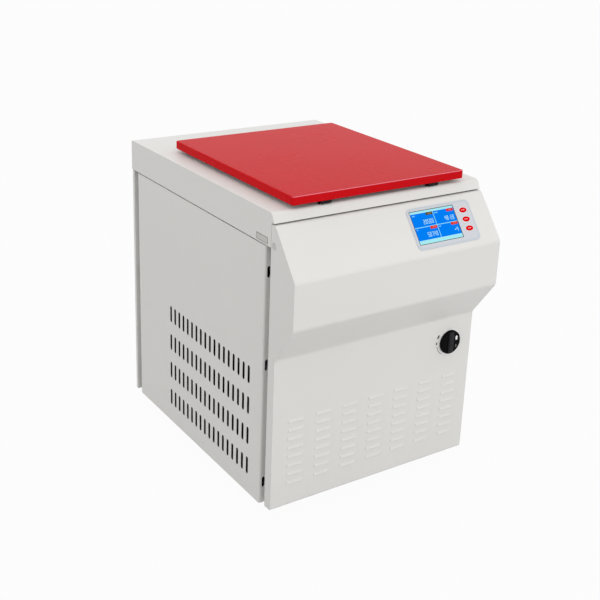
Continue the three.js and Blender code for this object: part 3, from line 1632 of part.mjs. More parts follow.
function strutCylinder() {
  const bore = strutTubeRadius - strutTubeWall;
  const tube = turned([
    [0, strutEyeRadius - strutGuide / 4],
    [strutTubeRadius, strutEyeRadius - strutGuide / 4],
    [strutTubeRadius, strutTubeLength],
    [strutRodRadius + seatGap, strutTubeLength],
    [strutRodRadius + seatGap, strutTubeLength - strutGuide],
    [bore, strutTubeLength - strutGuide],
    [bore, strutEyeRadius + strutGuide],
    [0, strutEyeRadius + strutGuide],
  ], smallEdges);
  return cut(
    join(tube, bar("x", strutEyeRadius, [-strutEyeWidth / 2, strutEyeWidth / 2], [0, 0])),
    bar("x", strutPinRadius + turnGap, [-strutEyeWidth, strutEyeWidth], [0, 0]),
  );
}

function strutRod() {
  const rodFoot = strutEyeRadius + 2 * strutGuide;
  return join(
    bar("z", strutRodRadius, [rodFoot, strutLength], [0, 0], boltEdges),
    bar("x", strutEyeRadius, [-strutEyeWidth / 2, strutEyeWidth / 2], [0, strutLength]),
  );
}
for (const [hand, side] of Object.entries(sides)) {
  const foot = addGroup(cabinet, side * strutX, hingeY + strutFootPlace[0], hingeZ + strutFootPlace[1]);
  foot.rotation.x = strutLean;
  addPiece(foot, `strut_cylinder_${hand}`, strutCylinder(), blackEnamel);
  addPiece(foot, `strut_rod_${hand}`, strutRod(), stainless);
}

export default machine;
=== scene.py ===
"""Looks of the floor-standing refrigerated centrifuge, laid over its solids. Metres, +Z up."""

import json
from math import atan2, cos, pi, radians, sin, tan

import bmesh
import bpy
from mathutils import Matrix, Vector

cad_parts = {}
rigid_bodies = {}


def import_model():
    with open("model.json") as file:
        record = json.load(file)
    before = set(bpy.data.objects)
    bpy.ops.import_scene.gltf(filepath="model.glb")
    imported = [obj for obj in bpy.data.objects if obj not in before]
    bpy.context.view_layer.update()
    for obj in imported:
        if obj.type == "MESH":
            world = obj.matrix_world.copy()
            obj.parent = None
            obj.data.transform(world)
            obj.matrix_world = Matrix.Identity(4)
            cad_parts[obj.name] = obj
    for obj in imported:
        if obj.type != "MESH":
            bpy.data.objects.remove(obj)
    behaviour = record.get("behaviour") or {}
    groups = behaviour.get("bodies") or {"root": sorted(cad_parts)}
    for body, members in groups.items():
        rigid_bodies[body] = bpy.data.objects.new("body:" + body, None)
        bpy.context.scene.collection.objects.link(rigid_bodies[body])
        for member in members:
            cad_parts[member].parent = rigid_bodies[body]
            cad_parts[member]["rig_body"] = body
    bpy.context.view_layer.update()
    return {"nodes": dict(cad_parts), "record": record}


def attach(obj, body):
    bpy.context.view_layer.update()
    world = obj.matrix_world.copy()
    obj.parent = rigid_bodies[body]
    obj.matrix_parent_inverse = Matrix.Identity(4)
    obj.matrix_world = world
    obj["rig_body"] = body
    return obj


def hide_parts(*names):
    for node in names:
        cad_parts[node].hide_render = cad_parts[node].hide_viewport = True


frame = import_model()
cad = frame["nodes"]
body_name = {node: piece["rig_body"] for node, piece in cad.items()}
slot_name = {entry["node"]: entry["material_slot"] for entry in frame["record"]["subparts"]}

MM = 0.001
FRONT_PLANE = -0.360
PANEL_FOOT = 0.034
SIDES = {"left": -1, "right": 1}


def place(x, y, z):
    """Millimetres from mid width, the lower front panel and the panels' bottom edge, as a place in metres."""
    return Vector((x * MM, y * MM + FRONT_PLANE, z * MM + PANEL_FOOT))


def frame_at(spot, turn):
    """A turned local frame in millimetres at a place."""
    return Matrix.Translation(spot) @ turn @ Matrix.Scale(MM, 4)


# Driving sizes of the cabinet and its chamber, in millimetres
CABINET_WIDTH, CABINET_DEPTH = 620.0, 772.0
DECK_HEIGHT = 772.0
CHAMBER_RADIUS, CHAMBER_MIDDLE = 205.0, 315.0
CHAMBER_AXIS = place(0, CHAMBER_MIDDLE, 0)
SEAT_GAP = 0.3


def shade(color, factor=1.0):
    """A screen colour, 0 to 255 each, as a linear colour with alpha, brighter or darker by a factor."""
    shares = [channel / 255 for channel in color]
    curved = [s / 12.92 if s <= 0.04045 else ((s + 0.055) / 1.055) ** 2.4 for s in shares]
    return (*(min(1.0, channel * factor) for channel in curved), 1.0)


# Node trees

def maths(operation):
    """A method that feeds a value and its other terms to a maths node."""
    def method(self, *terms):
        inputs = dict(enumerate((self, *terms)))
        return self.sheet.node("ShaderNodeMath", inputs, operation=operation)
    return method


class Value:
    """A node's output that takes part in sums."""

    def __init__(self, sheet, socket):
        self.sheet = sheet
        self.socket = socket

    __add__ = __radd__ = maths("ADD")
    __sub__ = maths("SUBTRACT")
    __mul__ = __rmul__ = maths("MULTIPLY")
    __truediv__ = maths("DIVIDE")
    __pow__ = maths("POWER")
    __abs__ = maths("ABSOLUTE")
    above = maths("GREATER_THAN")
    below = maths("LESS_THAN")
    most = maths("MAXIMUM")
    least = maths("MINIMUM")


class NodeSheet:
    """Adds nodes to one tree."""

    def __init__(self, tree):
        self.tree = tree

    def node(self, kind, inputs=None, output=0, **settings):
        made = self.tree.nodes.new(kind)
        for name, value in settings.items():
            setattr(made, name, value)
        for key, value in (inputs or {}).items():
            self.feed(made.inputs[key], value)
        return Value(self, made.outputs[output])

    def feed(self, socket, value):
        if isinstance(value, Value):
            self.tree.links.new(value.socket, socket)
        else:
            socket.default_value = value


finishes = {}


class Finish(NodeSheet):
    """One surface finish, kept in the palette by its name."""

    def __init__(self, name, **constants):
        self.material = bpy.data.materials.new(name)
        finishes[name] = self.material
        self.material.use_nodes = True
        super().__init__(self.material.node_tree)
        self.surface = self.tree.nodes["Principled BSDF"]
        self.where = self.node("ShaderNodeTexCoord", output="Object")
        for socket, value in constants.items():
            self.surface.inputs[socket.replace("_", " ")].default_value = value

    def axes(self, vector=None):
        """The x, y and z of a vector, or of the place on the object."""
        return [self.node("ShaderNodeSeparateXYZ", {0: vector or self.where}, axis) for axis in range(3)]

    def along(self, direction):
        inputs = {0: self.where, 1: tuple(direction)}
        return self.node("ShaderNodeVectorMath", inputs, "Value", operation="DOT_PRODUCT")

    def noise(self, scale, detail=2.0, stretch=None, where=None):
        """Cloudy noise from 0 to 1, with its scale in cells per metre."""
        spot = where or self.where
        if stretch:
            spot = self.node("ShaderNodeVectorMath", {0: spot, 1: stretch}, operation="MULTIPLY")
        return self.node("ShaderNodeTexNoise", {"Vector": spot, "Scale": scale, "Detail": detail})

    def mix(self, share, first, second):
        """A colour between two; share 0 gives the first."""
        return self.node("ShaderNodeMix", {0: share, 6: first, 7: second}, 2, data_type="RGBA")

    def bump(self, height, depth, strength):
        """Relief from a height of 0 to 1, with its depth in metres."""
        inputs = {"Strength": strength, "Distance": depth, "Height": height}
        self.feed(self.surface.inputs["Normal"], self.node("ShaderNodeBump", inputs, "Normal"))

    def paint(self, color=None, roughness=None, emission=None):
        for socket, value in (("Base Color", color), ("Roughness", roughness), ("Emission Color", emission)):
            if value is not None:
                self.feed(self.surface.inputs[socket], value)


# Finishes

def powder_coat(name, color, shaded_room=None):
    """Fine-textured satin powder coat with a slight cloudiness.

    The last argument is a room in the cabinet, in millimetres: the inner faces and slot walls within it are
    painted dark, as painted shade, on the slot walls also standing for bare cut edges.
    """
    coat = Finish(name)
    cloud = coat.noise(2.3)
    grain = coat.noise(1100.0, 1.0)
    coat.bump(grain * 0.7 + coat.noise(260.0) * 0.3, 0.00022, 0.35)
    color_range = coat.mix(cloud, shade(color, 0.975), shade(color, 1.015))
    tone = coat.mix(grain * 0.12, color_range, shade(color, 0.9))
    if shaded_room:
        front = place(0, shaded_room["front"], 0).y
        limit = place(shaded_room["half_width"], shaded_room["rear"], shaded_room["top"])
        across, back, up = coat.axes()
        within = abs(across).below(limit.x) * back.above(front) * back.below(limit.y) * up.below(limit.z)
        # Painted shade: the inner faces and slot walls within the room are painted near black
        tone = coat.mix(within, tone, shade(PAINTED_SHADE_TONE))
    coat.paint(tone, 0.38 + 0.1 * coat.noise(24.0))


# A painted highlight on gloss paint: a pale band of base colour where the rise of the normal lies between
# these two, and it faces forward
HIGHLIGHT_LEAST_RISE, HIGHLIGHT_MOST_RISE = 0.4, 0.95
HIGHLIGHT_FACING_GAIN, PAINTED_HIGHLIGHT_SHARE = 1.25, 0.9


def gloss_paint(name, color, painted_highlight):
    """Smooth sprayed paint with faint orange peel and a painted highlight: a pale base colour along the upper
    front edge.
    """
    coat = Finish(name, Specular_IOR_Level=0.028)
    coat.bump(coat.noise(55.0, 1.0), 0.00002, 0.1)
    # Painted highlight: the rounded upper front edge, found from the object-space normal, gets a pale base
    # colour that stands for reflected light
    _, backward, upward = coat.axes(coat.node("ShaderNodeTexCoord", output="Normal"))
    forward = (-HIGHLIGHT_FACING_GAIN * backward).most(0.0).least(1.0)
    rim = upward.above(HIGHLIGHT_LEAST_RISE) * upward.below(HIGHLIGHT_MOST_RISE) * forward
    tone = coat.mix(coat.noise(3.1), shade(color, 0.97), shade(color, 1.03))
    coat.paint(coat.mix(rim * PAINTED_HIGHLIGHT_SHARE, tone, shade(painted_highlight)), 0.24 + 0.06 * coat.noise(9.0))


def rolled_metal(name, color, grain_direction, roughness):
    """Sheet or bar with fine lines along the way it was rolled or brushed."""
    metal = Finish(name, Metallic=1.0)
    stretch = tuple(0.02 if step else 1.0 for step in grain_direction)
    lines = metal.noise(260.0, 3.0, stretch)
    blotch = metal.noise(9.0)
    metal.bump(lines, 0.00005, 0.4)
    tone = metal.mix(lines * 0.5 + blotch * 0.5, shade(color, 0.86), shade(color, 1.08))
    metal.paint(tone, roughness - 0.08 + 0.16 * lines + 0.1 * blotch)


def turned_metal(name, color, centre, roughness):
    """Lathe-turned metal: rings about an upright axis."""
    metal = Finish(name, Metallic=1.0)
    x, y, z = metal.axes()
    across = x - centre.x
    back = y - centre.y
    radius = (across * across + back * back) ** 0.5
    ring_place = metal.node("ShaderNodeCombineXYZ", {0: radius, 2: z})
    rings = metal.noise(900.0, 2.0, None, ring_place)
    blotch = metal.noise(12.0)
    metal.bump(rings, 0.00002, 0.25)
    tone = metal.mix(rings * 0.35 + blotch * 0.5, shade(color, 0.92), shade(color, 1.04))
    metal.paint(tone, roughness - 0.04 + 0.08 * rings)


def cast_metal(name, color):
    metal = Finish(name, Metallic=0.9)
    grain = metal.noise(420.0, 4.0)
    metal.bump(grain, 0.0003, 0.6)
    tone = metal.mix(grain, shade(color, 0.8), shade(color, 1.1))
    metal.paint(tone, 0.5 + 0.15 * metal.noise(30.0))


def moulded_plastic(name, color, roughness, grain_depth=0.00015, shine=0.25):
    plastic = Finish(name, Specular_IOR_Level=shine)
    grain = plastic.noise(900.0, 2.0)
    plastic.bump(grain, grain_depth, 0.5)
    tone = plastic.mix(plastic.noise(7.0) * 0.6 + grain * 0.4, shade(color, 0.86), shade(color, 1.12))
    plastic.paint(tone, roughness - 0.05 + 0.12 * plastic.noise(60.0))


def black_rubber(name):
    rubber = Finish(name)
    bloom = rubber.noise(18.0)
    grain = rubber.noise(700.0, 3.0)
    rubber.bump(grain, 0.0002, 0.5)
    tone = rubber.mix(bloom * 0.6 + grain * 0.2, shade((28, 28, 29)), shade((62, 61, 60)))
    rubber.paint(tone, 0.72 + 0.15 * bloom)


def cut_foam(name, high, low):
    foam = Finish(name, Specular_IOR_Level=0.2)
    cells = foam.node("ShaderNodeTexVoronoi", {"Vector": foam.where, "Scale": 380.0}, "Distance")
    foam.bump(cells, 0.0012, 0.7)
    foam.paint(foam.mix(cells * 0.9, shade(high), shade(low)), 0.9 + 0.08 * foam.noise(40.0))


def lit_screen(name, color, dark=0.9):
    """A backlit display colour with its fine pixel rows."""
    screen = Finish(name, Emission_Strength=0.95, Roughness=0.3, Specular_IOR_Level=0.0)
    inputs = {"Vector": screen.where, "Scale": 620.0, "Distortion": 0.0}
    rows = screen.node("ShaderNodeTexWave", inputs, "Fac", wave_type="BANDS", bands_direction="X")
    glow = screen.noise(14.0)
    lit = screen.mix(rows * 0.4 + glow * 0.3, shade(color, dark), shade(color))
    screen.paint(shade(color, 0.02), None, lit)


def printed_ink(name, color):
    ink = Finish(name)
    patch = ink.noise(400.0)
    ink.bump(patch, 0.00002, 0.3)
    ink.paint(ink.mix(patch, shade(color, 0.92), shade(color, 1.05)), 0.42 + 0.1 * patch)


# Control face: local x to the right, y up the slope, z out of the face; millimetres from its middle
SLOPE_RUN, SLOPE_RISE = 85.0, 109.7
SLOPE_TURN = atan2(SLOPE_RISE, SLOPE_RUN)
face_middle = place(0, -31.5, 690.65)
face_frame = frame_at(face_middle, Matrix.Rotation(SLOPE_TURN, 4, "X"))
face_up = Vector((0, cos(SLOPE_TURN), sin(SLOPE_TURN)))

SCREEN_X, SCREEN_Y = 130.7, 2.5
SCREEN_WIDTH, SCREEN_HEIGHT = 139.5, 86.5
MEMBRANE_X = 152.7
MEMBRANE_WIDTH, MEMBRANE_HEIGHT = 200.5, 108.0
FIELD_CORNER, BORDER_WIDTH = 12.0, 6.0
HALO_WIDTH = 1.8
BUTTON_X = 227.4
BUTTON_ROWS = {"upper": 27.4, "middle": 3.0, "lower": -21.4}
BUTTON_WIDTH, BUTTON_HEIGHT = 23.4, 13.2


def membrane_film():
    """Printed film: blue-grey field, slightly darker border and a pale halo round each button."""
    film = Finish("membrane_film")
    x, _, _ = film.axes()
    across = x / MM
    up = (film.along(face_up) - face_middle.dot(face_up)) / MM
    field = shade((207, 210, 216))
    border = shade((199, 205, 213))
    halo = shade((230, 234, 238))
    inner_x = MEMBRANE_WIDTH / 2 - BORDER_WIDTH - FIELD_CORNER
    inner_y = MEMBRANE_HEIGHT / 2 - BORDER_WIDTH - FIELD_CORNER
    reach_x = (abs(across - MEMBRANE_X) - inner_x).most(0.0)
    reach_y = (abs(up) - inner_y).most(0.0)
    edge = ((reach_x * reach_x + reach_y * reach_y) ** 0.5).above(FIELD_CORNER)
    color = film.mix(edge, field, border)
    for height in BUTTON_ROWS.values():
        share_x = (across - BUTTON_X) / (BUTTON_WIDTH / 2 + HALO_WIDTH)
        share_y = (up - height) / (BUTTON_HEIGHT / 2 + HALO_WIDTH)
        color = film.mix((share_x * share_x + share_y * share_y).below(1.0), color, halo)
    grain = film.noise(1300.0, 1.0)
    film.bump(grain, 0.00006, 0.4)
    film.paint(color, 0.36 + 0.12 * grain)


# Palette
PAINT_TONE = (228, 227, 224)
# A near-black tone painted as shade inside the side and rear covers, seen through their slots
PAINTED_SHADE_TONE = (38, 38, 39)
SIDE_SHADED_ROOM = {"half_width": 309.7, "front": 60.0, "rear": 730.0, "top": 684.0}
REAR_SHADED_ROOM = {"half_width": 306.0, "front": 766.0, "rear": 770.5, "top": 684.0}

powder_coat("cabinet_paint", PAINT_TONE)
powder_coat("side_paint", PAINT_TONE, SIDE_SHADED_ROOM)
powder_coat("rear_paint", PAINT_TONE, REAR_SHADED_ROOM)
# The third colour of each gloss paint is its painted highlight on the upper front edge
gloss_paint("lid_paint", (204, 16, 24), (238, 150, 168))
gloss_paint("black_enamel", (28, 29, 31), (58, 59, 61))
rolled_metal("frame_steel", (72, 74, 77), (0, 0, 1), 0.55)
rolled_metal("frame_zinc", (176, 177, 178), (0, 0, 1), 0.5)
rolled_metal("zinc_plate", (196, 197, 198), (1, 0, 0), 0.36)
rolled_metal("copper", (196, 122, 84), (0, 0, 1), 0.32)
turned_metal("stainless", (206, 208, 209), CHAMBER_AXIS, 0.26)
turned_metal("anodised", (150, 156, 164), CHAMBER_AXIS, 0.34)
cast_metal("cast_aluminium", (178, 181, 184))
# The condenser's fins are coloured dark as painted shade seen through the side slots
cast_metal("condenser_painted_shade", (58, 60, 62))
black_rubber("rubber")
cut_foam("foam", (226, 208, 150), (190, 168, 110))
cut_foam("jacket_foam", (44, 45, 47), (24, 24, 26))
moulded_plastic("circuit_board", (30, 96, 54), 0.4)
moulded_plastic("plug_grey", (206, 205, 201), 0.5)
moulded_plastic("button_red", (226, 0, 12), 0.34, 0.00008, 0.04)
moulded_plastic("switch_white", (240, 240, 238), 0.4)
moulded_plastic("black_plastic", (7, 7, 8), 0.42, shine=0.15)
moulded_plastic("disc_black", (8, 8, 9), 0.42, shine=0.03)
moulded_plastic("grip_black", (46, 46, 48), 0.42, shine=0.06)
membrane_film()
lit_screen("screen_blue", (0, 132, 255))
lit_screen("screen_bar", (170, 240, 248), 0.97)
lit_screen("screen_line", (150, 232, 255), 0.97)
lit_screen("screen_digit", (190, 246, 255), 0.98)
lit_screen("screen_olive", (82, 84, 22))
lit_screen("screen_red", (236, 38, 34))
lit_screen("screen_tag_mark", (226, 150, 120))
printed_ink("screen_edge", (58, 60, 66))
printed_ink("white_ink", (236, 236, 234))
printed_ink("grey_ink", (96, 97, 98))
printed_ink("black_ink", (24, 24, 25))


# Meshes
MERGE_DISTANCE = 1e-6
SOLID_MERGE_DISTANCE = 2e-6
SOLID_FLAT_ANGLE = radians(0.5)
REGION_FLAT_ANGLE = radians(0.6)
BEVEL_SEGMENTS = 2
BEVEL_ANGLE = radians(38)
SIDE_PER_CURVE = 2.2


def mesh_from(name, points, faces):
    mesh = bpy.data.meshes.new(name)
    mesh.from_pydata([tuple(point) for point in points], [], faces)
    mesh.update()
    return mesh


def cleaned(mesh):
    """Doubles merged, slivers dropped, faces turned outwards."""
    work = bmesh.new()
    work.from_mesh(mesh)
    bmesh.ops.remove_doubles(work, verts=work.verts, dist=MERGE_DISTANCE)
    bmesh.ops.dissolve_degenerate(work, edges=work.edges, dist=MERGE_DISTANCE)
    bmesh.ops.recalc_face_normals(work, faces=work.faces)
    work.to_mesh(mesh)
    work.free()
    return mesh


def loft(name, rings, loop=False):
    """A skin over rings of points; the first and last are capped, or joined when loop is set."""
    count = len(rings[0])
    points = [point for ring in rings for point in ring]
    faces = []
    for level in range(len(rings) if loop else len(rings) - 1):
        low, high = level * count, (level + 1) % len(rings) * count
        for i in range(count):
            j = (i + 1) % count
            faces.append((low + i, low + j, high + j, high + i))
    if not loop:
        faces += [tuple(reversed(range(count))), tuple(range(len(points) - count, len(points)))]
    return cleaned(mesh_from(name, points, faces))


def raised(outline, height, local_frame):
    """An outline of [x, y] points at one height of a local frame."""
    return [local_frame @ Vector((x, y, height)) for x, y in outline]


def oval_outline(x, y, half_width, half_height, count):
    turns = [2 * pi * i / count for i in range(count)]
    return [(x + half_width * cos(turn), y + half_height * sin(turn)) for turn in turns]


def lathe(name, profile, spot, steps, turn=None, loop=False):
    """A body turned about +Z of its spot from [radius, height] points in millimetres."""
    local_frame = frame_at(spot, turn or Matrix.Identity(4))
    circles = ((oval_outline(0, 0, radius, radius, steps), height) for radius, height in profile)
    return loft(name, [raised(circle, height, local_frame) for circle, height in circles], loop)


def rounded(profile, radius, steps):
    """The profile with its inner corners eased by curves that leave a part of each side straight."""
    points = [Vector(point) for point in profile]
    eased = [profile[0]]
    for before, corner, after in zip(points, points[1:], points[2:]):
        to_before, to_after = before - corner, after - corner
        reach = min(radius, to_before.length / SIDE_PER_CURVE, to_after.length / SIDE_PER_CURVE)
        start = corner + to_before.normalized() * reach
        end = corner + to_after.normalized() * reach
        for i in range(steps + 1):
            share = i / steps
            eased.append(tuple(start.lerp(corner, share).lerp(corner.lerp(end, share), share)))
    return [*eased, profile[-1]]


def plate(name, outline, low, high, local_frame=face_frame):
    """A flat plate over an outline of [x, y] points, between two heights of a local frame."""
    return loft(name, [raised(outline, height, local_frame) for height in (low, high)])


def box_outline(x_low, x_high, y_low, y_high, corner=0.0, steps=5):
    if corner <= 0:
        return [(x_low, y_low), (x_high, y_low), (x_high, y_high), (x_low, y_high)]
    points = []
    centres = [
        (x_high - corner, y_high - corner, 0), (x_low + corner, y_high - corner, 90),
        (x_low + corner, y_low + corner, 180), (x_high - corner, y_low + corner, 270),
    ]
    for x, y, start in centres:
        for i in range(steps + 1):
            angle = radians(start + 90 * i / steps)
            points.append((x + corner * cos(angle), y + corner * sin(angle)))
    return points


def joined(name, meshes):
    """One mesh of several; each may carry its own finish."""
    work = bmesh.new()
    finish_list = []
    for mesh in meshes:
        first = len(work.faces)
        work.from_mesh(mesh)
        work.faces.ensure_lookup_table()
        own = mesh.materials[0] if mesh.materials else None
        if own not in finish_list:
            finish_list.append(own)
        for face in work.faces[first:]:
            face.material_index = finish_list.index(own)
    made = bpy.data.meshes.new(name)
    work.to_mesh(made)
    work.free()
    for finish in finish_list:
        made.materials.append(finish)
    return made


def with_finish(mesh, finish):
    mesh.materials.clear()
    mesh.materials.append(finishes[finish])
    return mesh


def added(name, data):
    """A new object in the scene."""
    made = bpy.data.objects.new(name, data)
    bpy.context.scene.collection.objects.link(made)
    return made


def evaluated(mesh, add_modifiers):
    """The mesh as it is after modifiers."""
    holder = added("work_piece", mesh)
    add_modifiers(holder)
    graph = bpy.context.evaluated_depsgraph_get()
    made = bpy.data.meshes.new_from_object(holder.evaluated_get(graph), depsgraph=graph)
    bpy.data.objects.remove(holder)
    return made


def bevelled(mesh, width):
    """Edges eased over a width in millimetres."""
    def add(holder):
        bevel = holder.modifiers.new("ease", "BEVEL")
        bevel.width = width * MM
        bevel.segments = BEVEL_SEGMENTS
        bevel.limit_method = "ANGLE"
        bevel.angle_limit = BEVEL_ANGLE
        bevel.miter_outer = "MITER_ARC"
    return evaluated(mesh, add)


def flat_regions(work):
    """Each face's flat region and each region's area."""
    region_of = {}
    areas = []
    for first in work.faces:
        if first.index in region_of:
            continue
        region = len(areas)
        region_of[first.index] = region
        area = 0.0
        waiting = [first]
        while waiting:
            face = waiting.pop()
            area += face.calc_area()
            for edge in face.edges:
                if len(edge.link_faces) != 2 or edge.calc_face_angle(pi) > REGION_FLAT_ANGLE:
                    continue
                for near in edge.link_faces:
                    if near.index not in region_of:
                        region_of[near.index] = region
                        waiting.append(near)
        areas.append(area)
    return region_of, areas


def shade_by_region(mesh, angle):
    """Smooth bends between flats that stay flat: corner normals weighted by region area."""
    work = bmesh.new()
    work.from_mesh(mesh)
    region_of, areas = flat_regions(work)
    limit = cos(radians(angle))
    normals = []
    for face in work.faces:
        for loop in face.loops:
            total = Vector()
            counted = set()
            for near in loop.vert.link_faces:
                region = region_of[near.index]
                if region not in counted and near.normal.dot(face.normal) > limit:
                    counted.add(region)
                    total += near.normal * areas[region]
            normals.append(total.normalized() if total.length > 0 else face.normal.copy())
    work.free()
    mesh.shade_smooth()
    mesh.normals_split_custom_set(normals)


def shade_by_angle(mesh, angle):
    mesh.shade_smooth()
    mesh.set_sharp_from_angle(angle=radians(angle))


def show(name, mesh, node, finish=None, angle=35, stands_for=True, shading=shade_by_angle):
    """Puts a finished piece in the scene, on the body of a node."""
    shading(mesh, angle)
    if finish is not None:
        with_finish(mesh, finish)
    piece = added(name, mesh)
    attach(piece, body_name[node])
    if stands_for:
        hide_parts(node)


def solid_copy(node, dissolve=False):
    """A node's own mesh with its loose triangles merged."""
    mesh = cad[node].data.copy()
    work = bmesh.new()
    work.from_mesh(mesh)
    bmesh.ops.remove_doubles(work, verts=work.verts, dist=SOLID_MERGE_DISTANCE)
    if dissolve:
        bmesh.ops.dissolve_limit(
            work, angle_limit=SOLID_FLAT_ANGLE, verts=work.verts, edges=work.edges,
            use_dissolve_boundaries=False,
        )
    work.to_mesh(mesh)
    work.free()
    return mesh


def dressed(node, angle, ease=0.0, finish=None):
    """The node's shape with its finish, smooth under an angle in degrees, edges eased in millimetres."""
    mesh = solid_copy(node, ease > 0)
    if ease > 0:
        mesh = bevelled(mesh, ease)
    show(f"{node}_finished", mesh, node, finish or slot_name[node], angle, shading=shade_by_region)


# Repeats: a tree that sets a fastener on every point, each turned by chance about its own axis
TURN_SEED = 7
FULL_TURN = 6.283
SCREW_SIDES = 24
SCREW_FINISH = "zinc_plate"


def fastener_tree():
    tree = bpy.data.node_groups.new("fasteners", "GeometryNodeTree")
    kinds = {
        "Points": "Geometry", "Pattern": "Object", "Size": "Float", "Facing": "Vector", "Finish": "Material",
    }
    names = {}
    for name, kind in kinds.items():
        socket = tree.interface.new_socket(name, in_out="INPUT", socket_type=f"NodeSocket{kind}")
        names[name] = socket.identifier
    tree.interface.new_socket("Pieces", in_out="OUTPUT", socket_type="NodeSocketGeometry")
    sheet = NodeSheet(tree)
    given = tree.nodes.new("NodeGroupInput")
    source = {name: Value(sheet, output) for name, output in zip(names, given.outputs)}
    pattern = sheet.node("GeometryNodeObjectInfo", {"Object": source["Pattern"]}, "Geometry")
    spin = sheet.node("FunctionNodeRandomValue", {"Seed": TURN_SEED, 3: FULL_TURN}, 1, data_type="FLOAT")
    turn = sheet.node("ShaderNodeCombineXYZ", {2: spin})
    aim = sheet.node("FunctionNodeAlignEulerToVector", {"Vector": source["Facing"]}, axis="Z")
    inputs = {"Points": source["Points"], "Instance": pattern, "Rotation": aim, "Scale": source["Size"]}
    placed = sheet.node("GeometryNodeInstanceOnPoints", inputs)
    inputs = {"Instances": placed, "Rotation": turn, "Local Space": True}
    turned = sheet.node("GeometryNodeRotateInstances", inputs)
    real = sheet.node("GeometryNodeRealizeInstances", {"Geometry": turned})
    coated = sheet.node("GeometryNodeSetMaterial", {"Geometry": real, "Material": source["Finish"]})
    end = tree.nodes.new("NodeGroupOutput")
    tree.links.new(coated.socket, end.inputs[0])
    return tree, names


def screw_pattern():
    """A button-head screw with a six-sided socket, about its own +Z, one unit across its head."""
    rows = [
        (0.5, 0.0, "round"), (0.5, 0.05, "round"), (0.44, 0.17, "round"), (0.3, 0.24, "round"),
        (0.24, 0.25, "socket"), (0.24, 0.08, "socket"),
    ]
    sector = pi / 3
    rings = []
    for radius, height, kind in rows:
        ring = []
        for i in range(SCREW_SIDES):
            angle = 2 * pi * i / SCREW_SIDES
            reach = radius
            if kind == "socket":
                reach = radius * cos(sector / 2) / cos(angle % sector - sector / 2)
            ring.append(Vector((reach * cos(angle), reach * sin(angle), height)))
        rings.append(ring)
    mesh = loft("screw_pattern", rings)
    shade_by_angle(mesh, 35)
    return added("screw_pattern", mesh)


fasteners, fastener_names = fastener_tree()


def screws(name, spots, facing, head, node):
    """Screw heads on a node, each at a spot, facing one way; head is the width in metres."""
    pattern = screw_pattern()
    points = mesh_from(name, spots, [])

    def add(holder):
        setter = holder.modifiers.new("fasteners", "NODES")
        setter.node_group = fasteners
        inputs = {"Pattern": pattern, "Size": head, "Facing": facing, "Finish": finishes[SCREW_FINISH]}
        for name, value in inputs.items():
            setter[fastener_names[name]] = value
    mesh = evaluated(points, add)
    bpy.data.objects.remove(pattern)
    show(name, mesh, node, SCREW_FINISH, stands_for=False)


# Cabinet sheets and plain inner pieces keep their solid's shape
SHEET_EASE = 0.4
BLOCK_EASE = 0.5
STRIKER_EASE = 0.8

for node in ("front_cover", "top_cover"):
    dressed(node, 40)
for hand in SIDES:
    dressed(f"side_panel_{hand}", 40, finish="side_paint")
dressed("rear_cover", 40, finish="rear_paint")
for node in ("base_plate", "motor_deck", "guard_ring"):
    dressed(node, 30, SHEET_EASE)
for hand in SIDES:
    dressed(f"side_frame_{hand}", 30, SHEET_EASE, "frame_zinc")
for node in ("control_membrane", "control_board", "lid_foam"):
    dressed(node, 30)
# Painted shade: the condenser is coloured dark so the view through the side slots stays shadowed
dressed("condenser", 30, finish="condenser_painted_shade")
dressed("fan_shroud", 30, finish="black_enamel")
dressed("insulation_jacket", 30, finish="jacket_foam")
for node in ("compressor", "drive_motor", "fan_blades", "evaporator_coil", "spindle_boot", "drive_spindle"):
    dressed(node, 38)
for node in ("damper_front", "damper_left", "damper_right"):
    dressed(node, 50)
for hand in SIDES:
    dressed(f"strut_rod_{hand}", 40)
    dressed(f"strut_cylinder_{hand}", 40)
    dressed(f"cover_plug_{hand}", 35, BLOCK_EASE)
    dressed(f"lid_striker_{hand}", 38, STRIKER_EASE)
    for part in ("hinge_bracket", "lid_arm", "lock_unit", "lock_hook"):
        dressed(f"{part}_{hand}", 38, SHEET_EASE)
dressed("power_unit", 35, BLOCK_EASE)


# Chamber: stainless bowl and rubber seal; a profile's points are [radius, height] in millimetres
CHAMBER_FLOOR = 522.0
BOWL_SHEET, BOWL_BEND = 2.0, 18.0
BOWL_HOLE, BOWL_RIM = 36.0, 222.0
BOWL_RIM_DROP = 3.3
SEAL_INSIDE, SEAL_OUTSIDE = 210.0, 224.0
SEAL_RISE = 9.2


def bowl_mesh():
    rim = DECK_HEIGHT - BOWL_RIM_DROP
    wall, under = CHAMBER_RADIUS + BOWL_SHEET, CHAMBER_FLOOR - BOWL_SHEET
    inside = rounded([
        (BOWL_HOLE, CHAMBER_FLOOR), (CHAMBER_RADIUS, CHAMBER_FLOOR), (CHAMBER_RADIUS, rim), (BOWL_RIM, rim),
    ], BOWL_BEND, 8)
    outside = rounded([
        (BOWL_RIM, rim - BOWL_SHEET), (wall, rim - BOWL_SHEET), (wall, under), (BOWL_HOLE, under),
    ], BOWL_BEND, 8)
    return lathe("bowl", inside + outside, CHAMBER_AXIS, 144, loop=True)


def seal_mesh():
    """A soft ring with a groove between two lips."""
    foot, crest = DECK_HEIGHT + SEAT_GAP, DECK_HEIGHT + SEAL_RISE
    middle = (SEAL_INSIDE + SEAL_OUTSIDE) / 2
    ring = rounded([
        (SEAL_INSIDE, foot + 2), (SEAL_INSIDE, crest - 3.4), (SEAL_INSIDE + 2.6, crest),
        (middle - 1.4, crest - 0.5), (middle, crest - 2.2), (middle + 1.4, crest - 0.5),
        (SEAL_OUTSIDE - 2.6, crest), (SEAL_OUTSIDE, crest - 3.4), (SEAL_OUTSIDE, foot + 2),
        (SEAL_OUTSIDE, foot), (SEAL_INSIDE, foot),
    ], 1.2, 3)
    return lathe("seal", ring, CHAMBER_AXIS, 144, loop=True)


